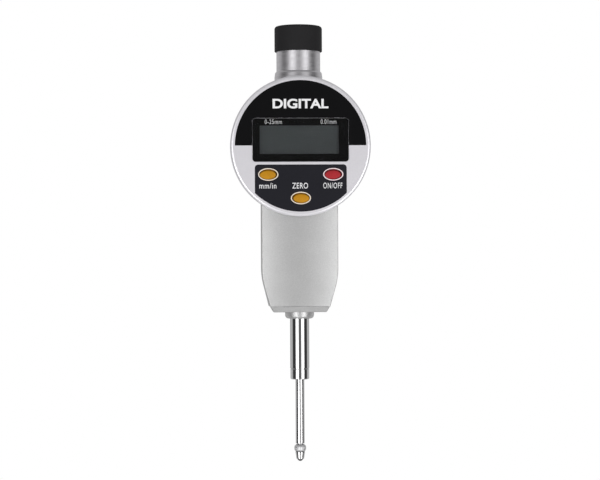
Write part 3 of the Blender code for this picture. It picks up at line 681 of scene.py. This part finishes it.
def cross_recess(name, x, face, z, size, depth):
    """Two crossed slots that sink into a screw's face, which looks along +Y."""
    wide, narrow = size / 2, size * 0.11
    slots = []
    for i, (half_x, half_z) in enumerate(((narrow, wide), (wide, narrow))):
        low = (x - half_x, face - depth, z - half_z)
        high = (x + half_x, face + 1, z + half_z)
        slots.append(block(f"{name}_{i}", low, high))
    return slots


def build_cover():
    top = COVER_HIGH.z
    inset = DRUM_R - COVER_HIGH.x
    shoulder = math.sqrt(COVER_HIGH.x ** 2 - (top - HEAD_Z) ** 2)
    plate_back = 10.0
    lug_front = COVER_LOW.y + 0.7
    lug_r, lug_half = 8.0, 2.5
    lug_y = COVER_HIGH.y - lug_r
    mouth_r, hole_r, waist = 4.2, 3.25, 2.2
    outline = body_outline(inset, COVER_LOW.z, shoulder, top)
    cover = plate("rear_cover", [outline], COVER_LOW.y, plate_back)
    settle(round_edges(cover, 0.35, 3, 25))
    lug_line = [(lug_front, HEAD_Z - lug_r), *arc((lug_y, HEAD_Z), lug_r, -90, 90, 40)]
    lug = plate("lug", [lug_line + [(lug_front, HEAD_Z + lug_r)]], -lug_half, lug_half, "right")
    settle(round_edges(lug, 0.3, 2, 60))
    line = [(0, 5), (mouth_r, 5), (hole_r, waist), (hole_r, -waist), (mouth_r, -5), (0, -5)]
    hole = lathe("lug_hole", line, (0, lug_y, HEAD_Z), "right", 64)
    sinks = []
    for i, (x, z) in enumerate(SCREW_PLACES, 1):
        line = [(0, 11), (3.45, 11), (1.3, 8.85), (1.3, 7), (0, 7)]
        sinks.append(lathe(f"sink_{i}", line, (x, 0, z), "back", 48))
    cut(join(cover, lug), hole, *sinks)
    settle(cover, lug, hole, *sinks)
    finish_piece(cover, "body_paint", nodes=["back_cover"])
    head, shank_r, tip = 9.92, 1.05, 2.2
    for i, (x, z) in enumerate(SCREW_PLACES, 1):
        line = [(0, head), (2.0, 9.9), (2.2, 9.82), (shank_r, 8.7), (shank_r, 2.5), (0.7, tip), (0, tip)]
        screw = lathe(f"cover_screw_{i}", line, (x, 0, z), "back", 48)
        recess = cross_recess(f"recess_{i}", x, head, z, 2.5, 0.9)
        settle(cut(screw, *recess), *recess)
        finish_piece(screw, "zinc_screw", nodes=[f"back_screw_{i}"])


# ---- display head ----

def build_housing():
    """Round head with its rim, open for the window, the keys and the data port."""
    seat_r, seat = LABEL_R + 0.01, 17.0
    collar_r, collar_back, collar_bore = 27.0, 7.8, 25.0
    room_r, room_back, room_front = 27.2, 11.4, 15.4
    profile = [
        (0, seat), (seat_r, seat), (seat_r, 17.4, 0.06), (28.5, 17.18, 0.1), (HEAD_R, 16.7, 0.12),
        (HEAD_R, 10.6, 0.25), (collar_r, 10.6), (collar_r, collar_back, 0.2), (collar_bore, collar_back),
        (collar_bore, room_back), (room_r, room_back), (room_r, room_front), (0, room_front),
    ]
    housing = lathe("head_housing", profile, (0, 0, HEAD_Z), "front", 192)
    lens_room = [side + 0.4 for side in LENS_SIZE]
    tools = [
        bar("flange_room", (0, 0, BODY_TOP - 0.1), (0, 0, 102), 10.4, 96),
        plate("lens_seat", [rounded_box(LENS_AT, lens_room, 1.5)], -18, -16),
        plate("window_hole", [rounded_box(on_head(LCD_OFFSET), (34.0, 13.0), 0.8)], -17, -14.5),
        plate("port", [rounded_box((-12.7, HEAD_Z), (2.8, 9.2), 0.5)], 24, 31, "right"),
    ]
    for key in BUTTON_KEYS:
        tools.append(plate(f"key_hole_{key}", [ellipse(button_place(key), HOLE_SEMI)], -18, -15))
    settle(cut(housing, *tools), *tools)
    finish_piece(housing, "head_plastic", nodes=["display_housing"])


def build_label():
    """Overlay film: a silver base with its inks as thin layers on top."""
    hole_size = (LENS_SIZE[0] - 2 * LENS_TRIM + 0.1, LENS_SIZE[1] + 0.1)
    hole_corner = 1.35
    lens_hole = rounded_box(LENS_AT, hole_size, hole_corner)
    key_holes = [ellipse(button_place(key), HOLE_SEMI) for key in BUTTON_KEYS]
    steps = 192
    round_edge = arc((0, HEAD_Z), LABEL_R, 0, 360 - 360 / steps, steps - 1)
    base_front = LABEL_FRONT + PRINT_THICK
    base = plate("label_film", [round_edge, lens_hole, *key_holes], base_front, LABEL_BACK)
    finish_piece(base, "label_print", nodes=["face_label"], material="label_silver")

    side_x = hole_size[0] / 2
    corner_x = side_x - hole_corner
    corner_z = LENS_AT[1] + hole_size[1] / 2 - hole_corner
    field_foot = HEAD_Z + FIELD_FOOT
    foot_angle = math.degrees(math.asin(FIELD_FOOT / PRINT_R))
    half_disc = arc((0, HEAD_Z), PRINT_R, foot_angle, 180 - foot_angle, 120)
    rise = [(-side_x, field_foot), (-side_x, corner_z)]
    rise += arc((-corner_x, corner_z), hole_corner, 180, 90, 8)
    fall = arc((corner_x, corner_z), hole_corner, 90, 0, 8) + [(side_x, field_foot)]
    black = plate("label_upper_field", [half_disc + rise + fall], LABEL_FRONT, base_front)
    finish_piece(black, "label_print", material="label_black")

    arc_end = math.degrees(math.acos(PANEL_HALF / PRINT_R))
    panel = arc((0, HEAD_Z), PRINT_R, -180 + arc_end, -arc_end, 90)
    corner_x, corner_z = PANEL_HALF - PANEL_CORNER, HEAD_Z + PANEL_TOP - PANEL_CORNER
    panel += arc((corner_x, corner_z), PANEL_CORNER, 0, 90, 8)
    panel += arc((-corner_x, corner_z), PANEL_CORNER, 90, 180, 8)
    ring_holes = [ellipse(button_place(key), RING_SEMI) for key in BUTTON_KEYS]
    charcoal = plate("label_key_field", [panel, *ring_holes], LABEL_FRONT, base_front)
    finish_piece(charcoal, "label_print", material="label_charcoal")

    for key, outer, inner in zip(BUTTON_KEYS, ring_holes, key_holes):
        ring = plate(f"label_ring_{key}", [outer, inner], LABEL_FRONT, base_front)
        finish_piece(ring, "label_print", material="ring_pink" if key == "power" else "ring_cream")


def legend(name, words, offset, size, front, weight, spacing=1.1):
    """Printed words of a set width and height, centred at an offset from the middle of the head."""
    centre = on_head(offset)
    curve = bpy.data.curves.new(name, "FONT")
    curve.body = words
    curve.size = 10.0
    curve.offset = weight
    curve.space_character = spacing
    curve.extrude = 0.5
    curve.resolution_u = 6
    mesh = curve_mesh(curve)
    form = bmesh.new()
    form.from_mesh(mesh)
    bpy.data.meshes.remove(mesh)
    bmesh.ops.remove_doubles(form, verts=form.verts, dist=0.0005)
    low = Vector([min(v.co[i] for v in form.verts) for i in range(3)])
    high = Vector([max(v.co[i] for v in form.verts) for i in range(3)])
    middle = (low + high) / 2
    for vert in form.verts:
        across, up, out = vert.co - middle
        vert.co = (
            centre[0] + across * size[0] / (high.x - low.x),
            front + PRINT_THICK / 2 - out * PRINT_THICK,
            centre[1] + up * size[1] / (high.y - low.y),
        )
    bmesh.ops.recalc_face_normals(form, faces=form.faces)
    finish_piece(add(name, form), "label_print", material="label_white")


def build_legends():
    """The words on the film, and the two printed behind the window."""
    film = LABEL_FRONT - 0.004
    legend("legend_unit", "mm/in", (-13.6, LEGEND_ROW), (7.0, 2.35), film, 0.03)
    legend("legend_zero", "ZERO", (-0.3, LEGEND_ROW), (6.5, 2.4), film, 0.05)
    legend("legend_power", "ON/OFF", (13.2, LEGEND_ROW), (7.9, 2.35), film, 0.02, 1.15)
    legend("legend_name", "DIGITAL", (0.0, NAME_ROW), (23.0, 4.0), film, 0.3, 1.0)
    mask_front = LENS_HIGH.y + 0.01
    legend("legend_range", "0-25mm", (-11.2, WINDOW_ROW), (7.1, 1.9), mask_front, 0.02)
    legend("legend_step", "0.01mm", (11.6, WINDOW_ROW), (6.5, 1.9), mask_front, 0.02)


def build_window():
    """Clear window, the black mask behind it, and the display cell with its polariser."""
    size = (LENS_SIZE[0] - 2 * LENS_TRIM, LENS_SIZE[1])
    lens = plate("display_window", [rounded_box(LENS_AT, size, 1.3, 12)], LENS_LOW.y, LENS_HIGH.y)
    settle(round_edges(lens, 0.3, 4, 60))
    finish_piece(lens, "lens_clear", nodes=["lcd_lens"])
    lcd_hole = rounded_box(on_head(LCD_OFFSET), LCD_AREA, 0.25)
    rim = rounded_box(LENS_AT, [side - 0.1 for side in size], 1.25, 12)
    mask_front = LENS_HIGH.y + 0.03
    mask = plate("window_mask", [rim, lcd_hole], mask_front, mask_front + 0.04)
    finish_piece(mask, "label_print", material="window_black")
    low, high = span("lcd_panel")
    rear = block("display_cell", (low.x, low.y + 0.35, low.z), (high.x, high.y, high.z))
    settle(round_edges(rear, 0.08, 2, 60))
    finish_piece(rear, "lcd_glass", nodes=["lcd_panel"])
    film_low = (low.x + 0.6, low.y, low.z + 1.2)
    film_high = (high.x - 0.6, low.y + 0.3, high.z - 1.2)
    film = block("display_polariser", film_low, film_high)
    settle(round_edges(film, 0.05, 2, 60))
    finish_piece(film, "lcd_glass")


def build_key(key):
    """Elliptical key: domed top, round edge, flange behind the face and a stem to its switch."""
    low, high = span(f"button_{key}")
    x, z = button_place(key)
    z -= KEY_DROP
    x += KEY_DROP if key == "zero" else -KEY_DROP
    edge, crown = 0.35, 0.16
    rings = []
    for share in (0.25, 0.5, 0.75, 0.9):
        inner = [(semi - edge) * share for semi in KEY_SEMI]
        rings.append((inner, low.y + crown * share ** 2))
    edge_steps = 6
    for step in range(1, edge_steps + 1):
        angle = math.pi / 2 * step / edge_steps
        grow = edge * (math.sin(angle) - 1)
        rings.append(([semi + grow for semi in KEY_SEMI], low.y + 0.18 + edge * (1 - math.cos(angle))))
    flange, flange_edge, post, post_end = (4.2, 2.6), (4.15, 2.55), (1.5, 1.5), (1.4, 1.4)
    rings += [
        (KEY_SEMI, -15.3), (flange_edge, -15.25), (flange, -15.2), (flange, -14.55),
        (flange_edge, -14.5), (post, -14.5), (post, high.y + 0.1), (post_end, high.y),
    ]
    steps = 72
    form = bmesh.new()
    tip = form.verts.new((x, low.y, z))
    loops = []
    for semi, y in rings:
        loops.append([form.verts.new((across, y, up)) for across, up in ellipse((x, z), semi, steps)])
    for i in range(steps):
        form.faces.new((tip, loops[0][i], loops[0][(i + 1) % steps]))
    for one, two in zip(loops, loops[1:]):
        for i in range(steps):
            after = (i + 1) % steps
            form.faces.new((one[i], two[i], two[after], one[after]))
    form.faces.new(loops[-1])
    bmesh.ops.recalc_face_normals(form, faces=form.faces)
    slot = "button_red" if key == "power" else "button_amber"
    finish_piece(add(f"key_{key}", form), slot, f"{key}_button", [f"button_{key}"])


def build_port_cover():
    """Push-in cover, curved with the head and grooved for a fingernail."""
    low, high = span("data_port_cover")
    outline = rounded_box(((low.y + high.y) / 2, HEAD_Z), (high.y - low.y, high.z - low.z), 0.35)
    cover = plate("port_cover", [outline], low.x, 30, "right")
    drum = bar("port_round", (0, -20, HEAD_Z), (0, -5, HEAD_Z), HEAD_R - 0.06, 192)
    settle(combine(cover, "INTERSECT", [drum]), drum)
    grooves = []
    groove_x, groove_r = HEAD_R + 0.1, 0.28
    for i, lift in enumerate((-2.4, -1.6, -0.8, 0.0, 0.8, 1.6, 2.4)):
        start = (groove_x, low.y + 0.5, HEAD_Z + lift)
        end = (groove_x, high.y - 0.5, HEAD_Z + lift)
        grooves.append(bar(f"groove_{i}", start, end, groove_r, 16))
    settle(cut(round_edges(cover, 0.12, 2, 50), *grooves), *grooves)
    finish_piece(cover, "black_plastic", "port_cover", ["data_port_cover"])


# ---- battery drawer ----

def build_battery():
    """Drawer with a pocket and a fingernail slot, and its coin cell."""
    low, high = span("battery_tray")
    cell = centre_of("battery")
    cell_low, cell_high = span("battery")
    outline = rounded_box((0, HEAD_Z), (high.y - low.y, high.z - low.z), 0.4)
    tray = plate("battery_drawer_tray", [outline], -29, high.x, "right")
    drum = bar("drum_round", (0, -6, HEAD_Z), (0, 6, HEAD_Z), -low.x, 192)
    settle(combine(tray, "INTERSECT", [drum]), drum)
    round_edges(tray, 0.12, 2, 50)
    pocket_r, window_r = 6.1, 4.0
    tools = [
        bar("pocket", (cell.x, -2.9, HEAD_Z), (cell.x, 5, HEAD_Z), pocket_r, 72),
        bar("pocket_window", (cell.x, -5, HEAD_Z), (cell.x, 0, HEAD_Z), window_r, 48),
        plate("nail_slot", [rounded_box((-1.9, HEAD_Z), (0.9, 7.0), 0.4)], -29, -26.1, "right"),
    ]
    settle(cut(tray, *tools), *tools)
    finish_piece(tray, "body_paint", "battery_drawer", ["battery_tray"])
    radius = (cell_high.x - cell_low.x) / 2
    half = (cell_high.y - cell_low.y) / 2
    line = [
        (0, half), (radius * 0.78, half), (radius * 0.8, half - 0.08), (radius, half - 0.08, 0.35),
        (radius, -half + 0.9, 0.15), (radius * 0.9, -half + 0.75), (radius * 0.84, -half, 0.12), (0, -half),
    ]
    battery = lathe("coin_cell", line, (cell.x, cell.y, cell.z), "back", 96)
    finish_piece(battery, "battery_steel", "battery_drawer", ["battery"])


# ---- stem, spindle, contact ----

def build_stem():
    """Clamping stem, and the bushing in its nose."""
    radius = STEM_HIGH.x
    socket_r, socket_top = 3.0, -11.9
    line = [
        (radius, STEM_HIGH.z, 0.3), (radius, STEM_LOW.z, 0.2), (socket_r, STEM_LOW.z),
        (socket_r, socket_top), (STEM_BORE, socket_top), (STEM_BORE, STEM_HIGH.z),
    ]
    finish_piece(lathe("clamping_stem", line, closed=True, steps=128), "chrome_steel", nodes=["stem"])
    radius, bore = NOSE_HIGH.x, SPINDLE_HIGH.x + 0.1
    line = [
        (NOSE_PLUG_R, NOSE_HIGH.z, 0.2), (NOSE_PLUG_R, NOSE_STEP_Z), (radius, NOSE_STEP_Z, 0.12),
        (radius, NOSE_LOW.z, 0.45), (bore, NOSE_LOW.z, 0.15), (bore, NOSE_HIGH.z),
    ]
    nose = lathe("nose_bushing", line, closed=True, steps=128)
    finish_piece(nose, "chrome_steel", nodes=["lower_bushing"], material="bushing_steel")


def build_spindle():
    """Spindle, with a tapped hole in each end."""
    radius = SPINDLE_HIGH.x
    top, foot = SPINDLE_HIGH.z, SPINDLE_LOW.z
    top_hole_r, top_hole = 1.0, top - 3.6
    foot_hole_r, foot_hole = 1.3, foot + 4
    line = [
        (0, top_hole), (top_hole_r, top_hole), (top_hole_r, top), (radius, top, 0.2),
        (radius, foot, 0.25), (foot_hole_r, foot), (foot_hole_r, foot_hole), (0, foot_hole),
    ]
    rod = lathe("spindle_rod", line, steps=96)
    finish_piece(rod, "chrome_steel", SPINDLE_BODY, ["spindle"], "spindle_chrome")


def build_contact():
    """Contact point: its threaded shank and knurled collar, its cone, and the ball set in the cone."""
    collar, collar_round = POINT_HIGH.x, 1.3
    shank_r = 1.15
    line = [
        (0, POINT_HIGH.z), (shank_r, POINT_HIGH.z, 0.15), (shank_r, COLLAR_TOP),
        (collar, COLLAR_TOP, collar_round), (collar, COLLAR_FOOT, collar_round), (0, COLLAR_FOOT),
    ]
    ring = lathe("contact_collar", line, steps=180, flutes=(30, 0.05, -55.5, -53.5))
    finish_piece(ring, "chrome_steel", SPINDLE_BODY, ["contact_point"], "knurled_steel")
    ball_z = (BALL_LOW.z + BALL_HIGH.z) / 2
    socket = BALL_HIGH.z - ball_z + 0.04
    line = [(0, CONE_TOP[1]), CONE_TOP, (*CONE_FOOT, 0.2), CONE_END]
    first = math.asin((CONE_END[1] - ball_z) / socket)
    socket_steps = 8
    for step in range(socket_steps + 1):
        angle = first + (math.pi / 2 - first) * step / socket_steps
        line.append((socket * math.cos(angle), ball_z + socket * math.sin(angle)))
    line[-1] = (0, ball_z + socket)
    finish_piece(lathe("contact_cone", line), "chrome_steel", SPINDLE_BODY, material="spindle_chrome")
    radius, steps = (BALL_HIGH.z - BALL_LOW.z) / 2, 32
    angles = [math.pi / 2 - math.pi * i / steps for i in range(steps + 1)]
    circle = [(radius * math.cos(a), ball_z + radius * math.sin(a)) for a in angles]
    circle[0], circle[-1] = (0, BALL_HIGH.z), (0, BALL_LOW.z)
    finish_piece(lathe("tip_ball", circle, steps=64), "hardened_ball", SPINDLE_BODY, ["contact_ball"])


def build_lifting_button():
    low, high = span("lifting_button")
    head_foot, shank_r = high.z - 1.6, 0.85
    line = [
        (0, high.z), (high.x, high.z, 0.3), (high.x, head_foot, 0.2), (shank_r, head_foot),
        (shank_r, low.z, 0.15), (0, low.z),
    ]
    button = lathe("spindle_button", line, steps=96, flutes=(36, 0.08, high.z - 1.35, high.z - 0.35))
    finish_piece(button, "brushed_steel", SPINDLE_BODY, ["lifting_button"])


def build_spring():
    """Close-wound extension spring with a loop on each pin."""
    low, high = span("return_spring")
    lower_pin, upper_pin = centre_of("spring_anchor_pin"), centre_of("spring_hook_pin")
    x = (low.x + high.x) / 2
    wire, coil_r, loop_r, turns, per_turn = 0.2, 1.68, 1.2, 46, 16
    loop_turn = 290
    start, end = lower_pin.z + loop_r, upper_pin.z - loop_r
    path = []
    for step in range(per_turn + 1):
        angle = math.radians(-140 + loop_turn * step / per_turn)
        path.append((x + loop_r * math.sin(angle), 0.0, lower_pin.z - loop_r * math.cos(angle)))
    count = turns * per_turn
    for step in range(1, count):
        share = step / count
        ends = min(1.0, share * turns * 0.9, (1 - share) * turns * 0.9)
        angle = math.tau * step / per_turn
        swing = coil_r * ends
        path.append((x + swing * math.sin(angle), swing * math.cos(angle), start + (end - start) * share))
    for step in range(per_turn + 1):
        angle = math.radians(loop_turn * step / per_turn)
        path.append((x + loop_r * math.sin(angle), 0.0, upper_pin.z - loop_r * math.cos(angle)))
    curve = bpy.data.curves.new("spring_line", "CURVE")
    curve.dimensions = "3D"
    curve.bevel_depth = wire * MM
    curve.bevel_resolution = 2
    curve.use_fill_caps = True
    spline = curve.splines.new("POLY")
    spline.points.add(len(path) - 1)
    for point, place in zip(spline.points, path):
        point.co = (*[value * MM for value in place], 1.0)
    mesh = curve_mesh(curve)
    mesh.shade_smooth()
    spring = new_object("extension_spring", mesh)
    mesh.materials.append(MATERIALS["spring_steel"])
    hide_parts("return_spring")
    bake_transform(spring)


# ---- sleeve and cap ----

def build_sleeve():
    """Turned sleeve with a stepped foot flange, and the seal ring in its groove."""
    outer, flange, plug_r, plug_bore = SLEEVE_R, SLEEVE_HIGH.x, 6.0, 4.6
    groove_r, groove_low, groove_high = 7.9, 116.0, 117.6
    flange_foot = 97.0
    line = [
        (SLEEVE_BORE, SLEEVE_HIGH.z, 0.2), (outer, SLEEVE_HIGH.z, 0.5), (outer, groove_high),
        (groove_r, groove_high), (groove_r, groove_low), (outer, groove_low), (outer, 103.7, 0.2),
        (outer + 0.35, 103.5, 0.1), (flange - 0.2, 103.0, 0.2), (flange, 101.2, 0.3),
        (flange, flange_foot, 0.2), (plug_r, flange_foot), (plug_r, SLEEVE_LOW.z, 0.3),
        (plug_bore, SLEEVE_LOW.z), (plug_bore, 98.0), (SLEEVE_BORE, 99.0),
    ]
    sleeve = lathe("cap_sleeve", line, closed=True, steps=160)
    finish_piece(sleeve, "turned_aluminium", nodes=["top_sleeve"])
    low, high = span("cap_seal_ring")
    thick = (high.z - low.z) / 2
    ring_r = high.x - thick
    circle = arc((ring_r, (low.z + high.z) / 2), thick, 0, 360 - 22.5, 15)
    ring = lathe("seal_ring", circle, closed=True, steps=128)
    finish_piece(ring, "rubber", nodes=["cap_seal_ring"])


def build_cap():
    inside_r, inside_top = CAP_INSIDE
    line = [
        (0, CAP_HIGH.z), (CAP_R * 0.6, CAP_HIGH.z - 0.05), (CAP_R, CAP_HIGH.z - 0.15, 1.25),
        (CAP_R, CAP_LOW.z, 0.3), (inside_r, CAP_LOW.z, 0.15), (inside_r, inside_top, 0.4),
        (0, inside_top),
    ]
    finish_piece(lathe("push_on_cap", line, steps=160), "black_plastic", "cap", ["dust_cap"])


def dress_kept_nodes():
    """CAD nodes whose shape is right keep it and get their finish's material."""
    for part in frame["record"]["subparts"]:
        node = frame["nodes"][part["node"]]
        if node.hide_render:
            continue
        for slot in node.material_slots:
            slot.material = MATERIALS[part["material_slot"]]


# ---- studio ----

def world_light():
    """A soft studio: a wall that changes with the bearing, a ceiling and a table; the camera sees white."""
    world = bpy.data.worlds.new("studio")
    bpy.context.scene.world = world
    world.use_nodes = True
    tree = world.node_tree
    tree.nodes.clear()
    new, link = tree.nodes.new, tree.links.new

    def ranged(source, start, full):
        made = new("ShaderNodeMapRange")
        made.inputs["From Min"].default_value = start
        made.inputs["From Max"].default_value = full
        link(source, made.inputs["Value"])
        return made.outputs[0]

    parts = new("ShaderNodeSeparateXYZ")
    link(new("ShaderNodeTexCoord").outputs["Generated"], parts.inputs[0])
    flip = new("ShaderNodeMath")
    flip.operation = "MULTIPLY"
    flip.inputs[1].default_value = -1.0
    link(parts.outputs["Y"], flip.inputs[0])
    bearing = new("ShaderNodeMath")
    bearing.operation = "ARCTAN2"
    link(parts.outputs["X"], bearing.inputs[0])
    link(flip.outputs[0], bearing.inputs[1])
    around = new("ShaderNodeValToRGB")
    link(ranged(bearing.outputs[0], -math.pi, math.pi), around.inputs[0])
    # (degrees from the front, brightness), the same on both sides
    wall = [(11, 0.17), (14, 0.6), (50, 0.6), (55, 0.05), (92, 0.06), (104, 0.68), (152, 0.78), (166, 0.26)]
    stops = [(0.5 - a / 360, b) for a, b in reversed(wall)] + [(0.5 + a / 360, b) for a, b in wall]
    ramp = around.color_ramp
    while len(ramp.elements) < len(stops):
        ramp.elements.new(0.5)
    for element, (place, level) in zip(ramp.elements, stops):
        element.position = place
        element.color = (level, level, level, 1.0)
    surround = around.outputs["Color"]
    # (height where it starts, height where it is full, brightness) for the ceiling and the table
    for start, full, level in ((0.45, 0.8, 0.5), (-0.5, -0.75, 0.28)):
        blend = new("ShaderNodeMix")
        blend.data_type = "RGBA"
        link(ranged(parts.outputs["Z"], start, full), blend.inputs["Factor"])
        link(surround, blend.inputs["A"])
        blend.inputs["B"].default_value = (level, level, level, 1.0)
        surround = blend.outputs["Result"]
    lit = new("ShaderNodeBackground")
    link(surround, lit.inputs["Color"])
    seen = new("ShaderNodeBackground")
    seen.inputs["Color"].default_value = (1.0, 1.0, 1.0, 1.0)
    mix = new("ShaderNodeMixShader")
    link(new("ShaderNodeLightPath").outputs["Is Camera Ray"], mix.inputs["Fac"])
    link(lit.outputs[0], mix.inputs[1])
    link(seen.outputs[0], mix.inputs[2])
    link(mix.outputs[0], new("ShaderNodeOutputWorld").inputs["Surface"])


def softbox(name, bearing, distance, height, size, brightness):
    """Rectangular light at a bearing from the front, aimed at the object's middle."""
    light = bpy.data.lights.new(name, "AREA")
    light.shape = "RECTANGLE"
    light.size, light.size_y = size
    light.energy = brightness * math.pi * size[0] * size[1]
    lamp = new_object(name, light)
    angle = math.radians(bearing)
    aim = Vector((0, 0, 0.03))
    lamp.location = aim + Vector((math.sin(angle) * distance, -math.cos(angle) * distance, height))
    lamp.rotation_euler = (aim - lamp.location).to_track_quat("-Z", "Y").to_euler()
    lamp.visible_camera = False


def build_floor():
    """Round pale floor, far enough below the object not to light it from underneath."""
    radius, drop = 320, 560
    form = bmesh.new()
    bmesh.ops.create_circle(form, cap_ends=True, segments=96, radius=radius)
    bmesh.ops.translate(form, vec=(0, 0, BALL_LOW.z - drop), verts=form.verts)
    floor = add("floor", form)
    paper = Finish("pale_floor", (0.86, 0.86, 0.86), 0.9)
    paper.vary(60.0, 0.01).vary_roughness(20.0, 0.03).grain(3.0, 0.05)
    paper.set(Emission_Color=(1.0, 1.0, 1.0, 1.0), Emission_Strength=0.05)
    floor.data.materials.append(paper.done())


def build_camera():
    """Level camera in front of the display, turned a little to the left of square-on."""
    camera = bpy.data.cameras.new("camera")
    camera.lens = 114.0
    camera.sensor_width = 36.0
    view = new_object("camera", camera)
    yaw, roll = math.radians(2.7), math.radians(0.29)
    height, distance, aside = 0.033, 0.800, 0.00034
    right = Vector((math.cos(yaw), -math.sin(yaw), 0))
    view.location = Vector((-math.sin(yaw), -math.cos(yaw), 0)) * distance + right * aside
    view.location.z = height
    view.rotation_mode = "QUATERNION"
    level = Vector((math.sin(yaw), math.cos(yaw), 0)).to_track_quat("-Z", "Y")
    view.rotation_quaternion = level @ Matrix.Rotation(-roll, 3, "Z").to_quaternion()
    bpy.context.scene.camera = view


build_body()
build_cover()
build_housing()
build_label()
build_legends()
build_window()
for button_key in BUTTON_KEYS:
    build_key(button_key)
build_port_cover()
build_battery()
build_stem()
build_spindle()
build_contact()
build_lifting_button()
build_spring()
build_sleeve()
build_cap()
dress_kept_nodes()

world_light()
softbox("left_softbox", -34, 0.6, -0.2, (0.33, 0.74), 2.9)
softbox("right_softbox", 36, 0.6, -0.2, (0.33, 0.74), 2.8)
softbox("rear_softbox", 180, 0.7, 0.6, (0.4, 0.4), 1.3)
build_floor()
build_camera()
bpy.context.scene.view_settings.view_transform = "Standard"
